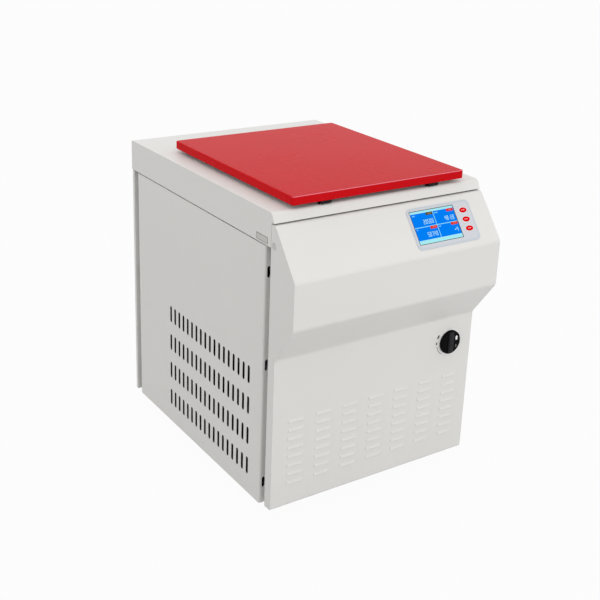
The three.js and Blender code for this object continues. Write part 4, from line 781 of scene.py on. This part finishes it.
# Rotor: a turned body with six slanted bores, and the hand nut on its hub; heights are over its foot
ROTOR_FOOT = 545.0
ROTOR_RADIUS, ROTOR_RIM_HEIGHT = 178.0, 40.05
ROTOR_TOP_RADIUS, ROTOR_HEIGHT = 135.99, 155.04
HUB_RADIUS, HUB_HEIGHT = 43.97, 142.04
HUB_WAIST_RADIUS = 56.07
POCKET_DEPTH = 12.0
SPINDLE_HOLE, SPINDLE_MOUTH = 10.0, 13.3
SPINDLE_CONE = 60.0
BORE_COUNT = 6
BORE_TILT = radians(20)
BORE_CIRCLE = 97.01
BORE_RADIUS, BORE_DEPTH = 30.97, 110.0
BORE_END_RADIUS, BORE_END_RISE = 17.96, 11.99
BORE_LEAD = 2.0
CUT_OVERRUN = 30.0
NUT_LOBES = 6
rotor_spot = place(0, CHAMBER_MIDDLE, ROTOR_FOOT)


def rotor_blank_mesh():
    """The body before its bores: under its cone, a dished top falls to the waist of the hub."""
    waist = ROTOR_HEIGHT - (ROTOR_TOP_RADIUS - HUB_WAIST_RADIUS) * tan(BORE_TILT)
    outline = rounded([
        (SPINDLE_MOUTH, 0.0), (30.0, 0.0), (38.0, POCKET_DEPTH), (154.0, POCKET_DEPTH), (162.0, 0.0),
        (ROTOR_RADIUS, 0.0), (ROTOR_RADIUS, ROTOR_RIM_HEIGHT), (ROTOR_TOP_RADIUS, ROTOR_HEIGHT),
        (HUB_WAIST_RADIUS, waist), (HUB_RADIUS, waist), (HUB_RADIUS, HUB_HEIGHT),
        (SPINDLE_HOLE, HUB_HEIGHT), (SPINDLE_HOLE, SPINDLE_CONE),
    ], 2.4, 3)
    return lathe("rotor_blank", outline, rotor_spot, 120, loop=True)


def bore_mesh(index):
    """What one bore takes away: a tube's room with a coned end and a short lead-in at its mouth."""
    mouth = ROTOR_HEIGHT - (ROTOR_TOP_RADIUS - BORE_CIRCLE) * tan(BORE_TILT)
    wide = BORE_RADIUS + BORE_LEAD
    wall = rounded([
        (BORE_END_RADIUS, -BORE_DEPTH), (BORE_RADIUS, BORE_END_RISE - BORE_DEPTH), (BORE_RADIUS, -1.8),
        (wide, 0.2), (wide, CUT_OVERRUN),
    ], 0.4, 1)
    outline = [(0.0, -BORE_DEPTH), *wall, (0.0, CUT_OVERRUN)]
    round_about = Matrix.Rotation(index * 2 * pi / BORE_COUNT, 4, "Z")
    outwards = Matrix.Translation((BORE_CIRCLE * MM, 0, mouth * MM))
    lean = Matrix.Rotation(-BORE_TILT, 4, "Y")
    return lathe(f"bore_{index}", outline, rotor_spot, 56, round_about @ outwards @ lean)


def rotor_mesh():
    bores = [bore_mesh(index) for index in range(BORE_COUNT)]
    cutters = added("bores", joined("bores", bores))

    def add(holder):
        cut = holder.modifiers.new("bores", "BOOLEAN")
        cut.operation = "DIFFERENCE"
        cut.solver = "EXACT"
        cut.object = cutters
    mesh = evaluated(rotor_blank_mesh(), add)
    bpy.data.objects.remove(cutters)
    return mesh


def lobed_ring(radius, height, hollow_depth, steps=96):
    """A ring about the rotor's axis with hollows between its lobes."""
    ring = []
    for i in range(steps):
        angle = 2 * pi * i / steps
        hollow = max(0.0, cos(NUT_LOBES * angle)) ** 1.6
        reach = (radius - hollow_depth * hollow) * MM
        ring.append(rotor_spot + Vector((reach * cos(angle), reach * sin(angle), height * MM)))
    return ring


def hand_nut_mesh():
    """A screw, a round flange and a lobed grip with a dished top: radius, rise, depth of hollows."""
    foot = HUB_HEIGHT + SEAT_GAP
    rows = [
        (9.6, -30, 0), (9.6, 0, 0), (29.2, 0, 0), (30.0, 0.8, 0), (30.0, 4.2, 0), (29.2, 5, 0),
        (26.2, 5.2, 3.4), (26.0, 6, 3.6), (26.0, 20, 3.6), (25.2, 22, 3.6), (23.2, 23.4, 3.4),
        (12.0, 23.7, 0.4), (10.5, 22.9, 0), (0.6, 22.9, 0),
    ]
    return loft("rotor_knob", [lobed_ring(radius, foot + rise, hollow) for radius, rise, hollow in rows])


show("bowl", bowl_mesh(), "chamber_bowl", "stainless", 40)
show("seal", seal_mesh(), "chamber_seal", "rubber", 50)
show("rotor_body", rotor_mesh(), "rotor", "anodised", 32, shading=shade_by_region)
show("hand_nut", hand_nut_mesh(), "rotor_knob", "black_plastic", 42)


# Lid: soft-edged shell, liner plate with its plug dish
LID_WIDTH, LID_DEPTH = 515.0, 580.0
LID_FRONT, LID_FOOT, LID_TOP = 25.2, 781.2, 802.8
LID_ROUND, LID_ROUND_STEPS = 2.4, 6
LID_CORNER, INNER_CORNER = 7.0, 2.0
LID_RETURN = 6.0
LID_SHEET = 2.0
LINER_SHEET = 1.5
DISH_RADIUS, DISH_DROP, DISH_BEND = 196.0, 24.0, 7.0


def lid_ring(inset, height, corner):
    half_width = LID_WIDTH / 2 - inset
    front, rear = LID_FRONT + inset, LID_FRONT + LID_DEPTH - inset
    return [place(x, y, height) for x, y in box_outline(-half_width, half_width, front, rear, corner, 8)]


def lid_shell_mesh():
    rings = [lid_ring(LID_RETURN, height, INNER_CORNER) for height in (LID_TOP - LID_SHEET, LID_FOOT)]
    turns = [pi / 2 * i / LID_ROUND_STEPS for i in range(LID_ROUND_STEPS + 1)]
    for turn in turns:
        rise = LID_ROUND * (1 - cos(turn))
        rings.append(lid_ring(LID_ROUND * (1 - sin(turn)), LID_FOOT + rise, LID_CORNER))
    for turn in turns:
        drop = LID_ROUND * (1 - sin(turn))
        rings.append(lid_ring(LID_ROUND * (1 - cos(turn)), LID_TOP - drop, LID_CORNER))
    return loft("lid_shell_fine", rings)


def lid_liner_mesh():
    foot = LID_FOOT + SEAT_GAP
    inset = LID_RETURN + SEAT_GAP
    plate_rings = [lid_ring(inset, height, INNER_CORNER) for height in (foot, foot + LINER_SHEET)]
    low, high = foot - DISH_DROP, foot + 1
    wall = rounded([(20.0, low), (DISH_RADIUS, low), (DISH_RADIUS, high)], DISH_BEND, 6)
    dish = [(0.0, low), *wall, (0.0, high)]
    return joined("liner", [
        with_finish(loft("liner_plate", plate_rings), "stainless"),
        with_finish(lathe("liner_dish", dish, CHAMBER_AXIS, 144), "stainless"),
    ])


show("lid_skin", lid_shell_mesh(), "lid_shell", "lid_paint", 40, shading=shade_by_region)
show("liner", lid_liner_mesh(), "lid_liner", shading=shade_by_region)


# Levelling feet: rubber pad, threaded stem and six-sided nut; heights are over the floor
FOOT_X = 230
FOOT_ROWS = {"front": 90, "rear": CABINET_DEPTH - 90}
PAD_RADIUS, PAD_HEIGHT = 28.0, 20.0
STEM_RADIUS, STEM_TOP = 9.0, 36.6
THREAD_START, THREAD_PITCH, THREAD_TURNS = 20.6, 1.4, 5
THREAD_DEPTH = 0.8


def foot_mesh(spot):
    pad = rounded([
        (0.0, 0.0), (PAD_RADIUS - 4.0, 0.0), (PAD_RADIUS, 4.0), (PAD_RADIUS, PAD_HEIGHT - 4.0),
        (20.0, PAD_HEIGHT), (STEM_RADIUS, PAD_HEIGHT),
    ], 2.0, 3)
    stem = [(STEM_RADIUS, PAD_HEIGHT)]
    for level in range(THREAD_TURNS):
        crest = THREAD_START + level * THREAD_PITCH
        stem += [(STEM_RADIUS, crest), (STEM_RADIUS - THREAD_DEPTH, crest + THREAD_PITCH / 2)]
    stem += [(STEM_RADIUS, crest + THREAD_PITCH), (STEM_RADIUS, STEM_TOP), (0.0, STEM_TOP)]
    nut = [(15.6, 28.2), (16.0, 28.9), (16.0, 35.7), (15.6, 36.4)]
    return joined("foot", [
        with_finish(lathe("foot_pad", pad, spot, 48), "rubber"),
        with_finish(lathe("foot_stem", stem, spot, 32), "zinc_plate"),
        with_finish(lathe("foot_nut", nut, spot, 6), "zinc_plate"),
    ])


for row, y in FOOT_ROWS.items():
    for hand, side in SIDES.items():
        spot = place(side * FOOT_X, y, -PANEL_FOOT / MM)
        show(f"levelling_foot_{row}_{hand}", foot_mesh(spot), f"foot_{row}_{hand}", angle=40)


# Cord gland: hollow dome, six-sided flange outside and lock nut inside the rear cover
GLAND_X, GLAND_Z = -210, 62
GLAND_HOLE = 5.0


def gland_mesh():
    spot = place(GLAND_X, CABINET_DEPTH, GLAND_Z)
    backwards = Matrix.Rotation(-pi / 2, 4, "X")
    dome = rounded([
        (11.0, -8.0), (11.0, 4.0), (14.0, 4.0), (14.0, 18.0), (9.5, 22.0), (GLAND_HOLE, 22.0),
    ], 1.2, 3)
    parts = [lathe("gland_body", [(GLAND_HOLE, 10.0), *dome], spot, 48, backwards, loop=True)]
    for name, low, high in (("flange", SEAT_GAP, 4.6), ("lock_nut", -8.3, -2.3)):
        profile = [(16.4, low), (17.0, low + 0.6), (17.0, high - 0.6), (16.4, high)]
        parts.append(lathe(name, profile, spot, 6, backwards))
    return joined("gland", [with_finish(part, "black_plastic") for part in parts])


show("gland", gland_mesh(), "cord_gland")


# Main switch: pale plate, black disc with a bar grip, printed marks
SWITCH_X, SWITCH_Z = 232.7, 345.4
RIM_RADIUS, RIM_TOP = 36.0, 2.3
KNOB_LIFT = 2.6
KNOB_RADIUS, KNOB_DISC = 32.5, 8.0
GRIP_WIDTH, GRIP_RISE, GRIP_TAPER = 19.0, 13.0, 3.0
forwards = Matrix.Rotation(pi / 2, 4, "X")
knob_spot = place(SWITCH_X, -KNOB_LIFT, SWITCH_Z)
panel_spot = place(SWITCH_X, 0, SWITCH_Z)
knob_frame = frame_at(knob_spot, forwards)
panel_frame = frame_at(panel_spot, forwards)


def knob_mesh():
    disc = rounded([(0.0, 0.0), (KNOB_RADIUS, 0.0), (KNOB_RADIUS, KNOB_DISC), (0.0, KNOB_DISC)], 1.8, 4)
    grip = []
    for height, shrink in ((5.0, 0.0), (10.6, 0.0), (11.8, 0.4), (12.6, 1.1), (GRIP_RISE, 2.2)):
        half_width = GRIP_WIDTH / 2 - GRIP_TAPER * height / GRIP_RISE - shrink
        half_length = KNOB_RADIUS - 3.0 - shrink
        corner = max(2.4 - shrink, 0.6)
        outline = box_outline(-half_width, half_width, -half_length, half_length, corner, 4)
        grip.append(raised(outline, height, knob_frame))
    arrow = [(15.5, 4.0), (21.5, 4.0), (21.5, 10.5), (23.5, 10.5), (18.5, 17.0), (13.5, 10.5), (15.5, 10.5)]
    ring = oval_outline(18.5, -13.0, 2.2, 4.4, 12)
    ink_foot = KNOB_DISC - 0.1
    return joined("knob", [
        with_finish(lathe("knob_disc", disc, knob_spot, 96, forwards), "disc_black"),
        with_finish(loft("knob_grip", grip), "grip_black"),
        with_finish(plate("knob_arrow", arrow, ink_foot, 8.12, knob_frame), "white_ink"),
        with_finish(plate("knob_ring", ring, ink_foot, 8.1, knob_frame), "grey_ink"),
    ])


def switch_mark(angle, inner, outer, width, finish):
    """A short printed bar on the panel, pointing at the knob's middle."""
    turn = radians(angle)
    along = Vector((cos(turn), sin(turn)))
    across = Vector((-along.y, along.x)) * width / 2
    corners = [along * inner - across, along * outer - across, along * outer + across, along * inner + across]
    return with_finish(plate("mark", [tuple(corner) for corner in corners], 0.02, 0.14, panel_frame), finish)


def switch_base_mesh():
    rim = rounded([(0.0, SEAT_GAP), (RIM_RADIUS, SEAT_GAP), (RIM_RADIUS, RIM_TOP), (0.0, RIM_TOP)], 0.7, 3)
    neck = [(0.0, 1.0), (11.0, 1.0), (11.0, -8.0), (0.0, -8.0)]
    body = box_outline(-23, 23, -23, 23, 3.0, 3)
    return joined("switch_base_fine", [
        with_finish(lathe("switch_plate", rim, panel_spot, 96, forwards), "switch_white"),
        with_finish(lathe("switch_neck", neck, panel_spot, 32, forwards), "plug_grey"),
        with_finish(plate("switch_body", body, -44.0, -2.3, panel_frame), "black_plastic"),
    ])


def switch_marks():
    """A broad mark for on, a narrower one for off and five fine ones below them."""
    rows = [(152, 38.2, 42.8, 10.0, "black_ink"), (179, 38.4, 42.6, 7.5, "grey_ink")]
    rows += [(197 + 9 * index, 38.4, 40.0, 5.6, "grey_ink") for index in range(5)]
    return joined("switch_marks", [switch_mark(*row) for row in rows])


show("switch_knob", knob_mesh(), "main_switch_knob")
show("switch_plate", switch_base_mesh(), "switch_base")
show("switch_marks", switch_marks(), "front_cover", angle=30, stands_for=False)


# Display picture: coloured fields, lines and numbers a few hundredths of a millimetre over each other
SCREEN_LEFT, SCREEN_LOW = SCREEN_X - SCREEN_WIDTH / 2, SCREEN_Y - SCREEN_HEIGHT / 2
GLASS_TOP = 0.6
FIELD_LEVEL, LINE_LEVEL, TAG_LEVEL, NUMBER_LEVEL, TAG_MARK_LEVEL = (
    GLASS_TOP + rise for rise in (0.05, 0.1, 0.12, 0.14, 0.15)
)
FIELD_THICKNESS, MARK_THICKNESS = 0.06, 0.04

# The picture's divisions, in shares of the screen's width and height from its lower left corner
PICTURE_LEFT, PICTURE_RIGHT = 0.012, 0.988
PICTURE_FOOT, PICTURE_TOP = 0.015, 0.985
BAR_FOOT, BAR_TOP = 0.125, 0.92
SPLIT_X, SPLIT_Y = 0.515, 0.505

# A digit's bars: a top, b and c right, d foot, e and f left, g middle; v upright of a plus, x and y dots
DIGIT_BARS = {
    "0": "abcdef", "2": "abdeg", "4": "bcfg", "5": "acdfg", "7": "abc", "8": "abcdefg", ":": "xy", "+": "gv",
}
DIGIT_WIDTH, DIGIT_HEIGHT, DIGIT_PITCH, DIGIT_STROKE = 4.3, 11.6, 6.7, 1.1
COLON_PITCH_SHARE = 0.7
DOT_SHARES = {"x": 0.22, "y": 0.66}


def digit_bars(mark, x, y):
    """The bars of one mark as [x_low, x_high, y_low, y_high]; x, y is its lower left corner."""
    thin, wide, high = DIGIT_STROKE, DIGIT_WIDTH, DIGIT_HEIGHT
    half = high / 2
    mid_left, mid_right = x + wide / 2 - thin / 2, x + wide / 2 + thin / 2
    level = {"d": 0, "g": half - thin / 2, "a": high - thin}
    bars = []
    for bar in DIGIT_BARS[mark]:
        if bar in level:
            bars.append((x, x + wide, y + level[bar], y + level[bar] + thin))
        elif bar in "bcef":
            left = x if bar in "ef" else x + wide - thin
            low = y if bar in "ce" else y + half
            bars.append((left, left + thin, low, low + half))
        elif bar == "v":
            bars.append((mid_left, mid_right, y + half - wide / 2, y + half + wide / 2))
        else:
            low = y + DOT_SHARES[bar] * high
            bars.append((mid_left, mid_right, low, low + thin))
    return bars


def number(marks, right, foot):
    """A number of thin bars on the control face, ending at the right."""
    parts = []
    x = right
    for mark in reversed(marks):
        x -= DIGIT_PITCH * (COLON_PITCH_SHARE if mark == ":" else 1.0)
        for index, bar in enumerate(digit_bars(mark, x, foot)):
            top = NUMBER_LEVEL + 0.002 * index
            parts.append(plate("bar", box_outline(*bar), top - MARK_THICKNESS, top))
    return with_finish(joined("number", parts), "screen_digit")


def unit_mark(left, foot, count):
    """A row of tiny bars that stands for a unit."""
    bars = []
    for index in range(count):
        start = left + 2.2 * index
        outline = box_outline(start, start + 1.3, foot, foot + 2.6)
        bars.append(plate("bar", outline, NUMBER_LEVEL - MARK_THICKNESS, NUMBER_LEVEL))
    return with_finish(joined("unit", bars), "screen_line")


def on_screen(share_x, share_y):
    """Millimetres on the control face for shares of the screen's width and height."""
    return SCREEN_LEFT + share_x * SCREEN_WIDTH, SCREEN_LOW + share_y * SCREEN_HEIGHT


def screen_field(left, right, low, high, level, finish):
    """A coloured field between shares of the screen's width and height."""
    (x_low, y_low), (x_high, y_high) = on_screen(left, low), on_screen(right, high)
    outline = box_outline(x_low, x_high, y_low, y_high)
    return with_finish(plate("field", outline, level - FIELD_THICKNESS, level), finish)


def screen_mesh():
    left, right, foot, top = PICTURE_LEFT, PICTURE_RIGHT, BAR_FOOT, BAR_TOP
    parts = [
        with_finish(solid_copy("display_screen"), "screen_edge"),
        screen_field(left, right, foot, top, FIELD_LEVEL, "screen_blue"),
        screen_field(left, right, top, PICTURE_TOP, FIELD_LEVEL, "screen_bar"),
        screen_field(left, right, PICTURE_FOOT, foot, FIELD_LEVEL, "screen_bar"),
        screen_field(SPLIT_X - 0.006, SPLIT_X + 0.006, foot, top, LINE_LEVEL, "screen_line"),
        screen_field(left, right, SPLIT_Y - 0.01, SPLIT_Y + 0.01, LINE_LEVEL, "screen_line"),
    ]
    # Speed, time, force and warmth: marks, bars of the unit, left and right, low and high, tone of the tag
    quarters = [
        ("20500", 4, (left, SPLIT_X), (SPLIT_Y, top), "screen_olive"),
        ("48:28", 5, (SPLIT_X, right), (SPLIT_Y, top), "screen_red"),
        ("50740", 2, (left, SPLIT_X), (foot, SPLIT_Y), "screen_red"),
        ("+4", 3, (SPLIT_X, right), (foot, SPLIT_Y), "screen_red"),
    ]
    for marks, unit_bars, (start, end), (low, high), tone in quarters:
        parts.append(screen_field(end - 0.165, end - 0.012, high - 0.085, high - 0.005, TAG_LEVEL, tone))
        for index in range(3):
            edge = end - 0.115 + index * 0.027
            edges = (edge, edge + 0.014, high - 0.06, high - 0.03)
            parts.append(screen_field(*edges, TAG_MARK_LEVEL, "screen_tag_mark"))
        parts.append(number(marks, *on_screen(end - 0.03, low + 0.075)))
        parts.append(unit_mark(*on_screen(start + 0.03, high - 0.075), unit_bars))
    return joined("display", parts)


show("display", screen_mesh(), "display_screen", angle=30)


# Buttons: domed ovals with a printed dot and wedge
def button_mesh(y):
    """Rows of margin round the oval and height: a flange under the film, an upright wall, a dome."""
    rows = [(1.5, -3.8), (1.5, -2.3), (0.0, -2.3), (0.0, 1.2)]
    rows += [(-0.25, 1.8), (-0.8, 2.2), (-2.4, 2.42), (-5.2, 2.5)]
    rings = []
    for margin, height in rows:
        outline = oval_outline(BUTTON_X, y, BUTTON_WIDTH / 2 + margin, BUTTON_HEIGHT / 2 + margin, 64)
        rings.append(raised(outline, height, face_frame))
    dot = oval_outline(BUTTON_X - 4.4, y, 1.1, 1.1, 10)
    wedge = [(BUTTON_X - 0.4, y - 1.2), (BUTTON_X + 4.4, y), (BUTTON_X - 0.4, y + 1.2)]
    return joined("button", [
        with_finish(loft("cap", rings), "button_red"),
        with_finish(plate("dot", dot, 2.3, 2.6), "white_ink"),
        with_finish(plate("wedge", wedge, 2.3, 2.6), "white_ink"),
    ])


for row, y in BUTTON_ROWS.items():
    show(f"button_{row}_cap", button_mesh(y), f"button_{row}", angle=40)


# Bare plate on the left skirt: a grey rim round a paler field
PLATE_EDGES = (-93.6, -43.0, 693.0, 709.0)
PLATE_RIM = 1.2


def skirt_plate():
    leftwards = Matrix.Rotation(-pi / 2, 4, "Z") @ forwards
    side_frame = frame_at(place(-CABINET_WIDTH / 2, 0, 0), leftwards)
    rear, front, low, high = PLATE_EDGES
    rim = PLATE_RIM
    outer = box_outline(rear, front, low, high, 1.6, 4)
    field = box_outline(rear + rim, front - rim, low + rim, high - rim, 0.9, 4)
    return joined("skirt_plate", [
        with_finish(plate("plate_rim", outer, 0.0, 0.22, side_frame), "grey_ink"),
        with_finish(plate("plate_field", field, 0.1, 0.3, side_frame), "plug_grey"),
    ])


show("skirt_plate", skirt_plate(), "top_cover", angle=30, stands_for=False)


# Screws: on the rear cover, the skirt, under the lid and on the hinges
HINGE_Y = 614.2
BRACKET_TOP = 775.3
BACKWARDS, DOWN, UP = (0, 1, 0), (0, 0, -1), (0, 0, 1)


def add_screws():
    rear = [place(x, CABINET_DEPTH, z) for x in (-297, 297) for z in (30, 240, 450, 660)]
    rear += [place(x, CABINET_DEPTH, z) for x in (-150, 0, 150) for z in (14, 674)]
    screws("rear_screws", rear, BACKWARDS, 0.009, "rear_cover")
    skirt = [place(x, CABINET_DEPTH, 728) for x in (-270, -90, 90, 270)]
    screws("skirt_screws", skirt, BACKWARDS, 0.009, "top_cover")
    liner_foot = LID_FOOT + SEAT_GAP
    liner = [place(x, y, liner_foot) for x in (-240, 240) for y in (44, 180, 315, 450, 586)]
    liner += [place(x, 44, liner_foot) for x in (-80, 80)]
    screws("liner_screws", liner, DOWN, 0.007, "lid_liner")
    for hand, side in SIDES.items():
        arm = [place(side * 204, HINGE_Y - y, LID_FOOT - 3.3) for y in (42, 68, 94)]
        screws(f"arm_screws_{hand}", arm, DOWN, 0.008, f"lid_arm_{hand}")
        bracket = [place(side * x, HINGE_Y + y, BRACKET_TOP) for x in (180.5, 227.5) for y in (-7, 17)]
        screws(f"bracket_screws_{hand}", bracket, UP, 0.007, f"hinge_bracket_{hand}")


add_screws()


# Camera: fitted to the photograph; place in metres, angles in degrees
CAMERA_PLACE = (-1.4980, -2.2017, 1.5230)
CAMERA_AZIMUTH, CAMERA_RISE, CAMERA_ROLL = -34.111, 19.37, 2.124
PHOTO_SIZE = 600
FOCAL_PIXELS = 1037.33
OPTICAL_ROW = 240
SENSOR_WIDTH = 36.0


def aim_camera():
    azimuth, rise, roll = (radians(a) for a in (CAMERA_AZIMUTH, CAMERA_RISE, CAMERA_ROLL))
    back = Vector((sin(azimuth) * cos(rise), -cos(azimuth) * cos(rise), sin(rise)))
    level_right = (-back).cross(Vector(UP)).normalized()
    level_up = level_right.cross(-back)
    right = cos(roll) * level_right + sin(roll) * level_up
    up = -sin(roll) * level_right + cos(roll) * level_up
    lens = bpy.data.cameras.new("camera")
    lens.sensor_width = SENSOR_WIDTH
    lens.lens = FOCAL_PIXELS / PHOTO_SIZE * SENSOR_WIDTH
    lens.shift_y = (OPTICAL_ROW - PHOTO_SIZE / 2) / PHOTO_SIZE
    lens.clip_end = 50.0
    camera = added("camera", lens)
    turn = Matrix((right, up, back)).transposed().to_4x4()
    camera.matrix_world = Matrix.Translation(CAMERA_PLACE) @ turn
    bpy.context.scene.camera = camera


# Light and floor: three broad lamps in a white room; places in metres
LIGHT_TARGET = Vector((0, 0, 0.45))
SKY_SEEN, SKY_LIT = 1.0, 0.84
FLOOR_HALF_SIZE = 12
FLOOR_GREYS = ((0.42, 0.42, 0.42, 1), (0.45, 0.45, 0.45, 1))
FLOOR_GLOW_SHARE = 0.96
WHITE = (1, 1, 1, 1)


def soft_light(name, spot, size, power):
    lamp = bpy.data.lights.new(name, "AREA")
    lamp.shape = "DISK"
    lamp.size = size
    lamp.energy = power
    holder = added(name, lamp)
    holder.location = spot
    holder.rotation_mode = "QUATERNION"
    holder.rotation_quaternion = (LIGHT_TARGET - Vector(spot)).to_track_quat("-Z", "Y")


def white_when_seen(sheet, seen, lit):
    """Mixes two shaders: the first for rays from the camera or off gloss and glass."""
    kinds = ("Is Camera Ray", "Is Glossy Ray", "Is Transmission Ray")
    camera_ray, gloss_ray, glass_ray = (sheet.node("ShaderNodeLightPath", output=kind) for kind in kinds)
    share = camera_ray.most(gloss_ray).most(glass_ray)
    return sheet.node("ShaderNodeMixShader", {0: share, 1: lit, 2: seen})


def white_room():
    world = bpy.data.worlds.new("studio")
    world.use_nodes = True
    bpy.context.scene.world = world
    sheet = NodeSheet(world.node_tree)
    seen, lit = (
        sheet.node("ShaderNodeBackground", {"Color": WHITE, "Strength": strength})
        for strength in (SKY_SEEN, SKY_LIT)
    )
    sheet.feed(world.node_tree.nodes["World Output"].inputs["Surface"], white_when_seen(sheet, seen, lit))


def pale_floor():
    """A pale grey floor that shows nearly white, as the photograph's ground does."""
    half = FLOOR_HALF_SIZE
    corners = [(-half, -half, 0), (half, -half, 0), (half, half, 0), (-half, half, 0)]
    floor = added("floor", mesh_from("floor", corners, [(0, 1, 2, 3)]))
    pale = Finish("floor_white", Roughness=0.9, Specular_IOR_Level=0.1)
    pale.paint(pale.mix(pale.noise(3.0), *FLOOR_GREYS))
    plain = Value(pale, pale.surface.outputs[0])
    bright = pale.node("ShaderNodeEmission", {"Color": WHITE, "Strength": 1.0})
    glowing = pale.node("ShaderNodeMixShader", {0: FLOOR_GLOW_SHARE, 1: plain, 2: bright})
    pale.feed(pale.tree.nodes["Material Output"].inputs["Surface"], white_when_seen(pale, glowing, plain))
    floor.data.materials.append(pale.material)


aim_camera()
white_room()
pale_floor()
soft_light("low front", (0.4, -2.8, 0.5), size=1.6, power=17.5)
soft_light("top", (0.0, 0.2, 3.2), size=2.5, power=8)
soft_light("left", (-3.4, -1.0, 1.7), size=2.4, power=8.5)
bpy.context.scene.view_settings.view_transform = "Standard"
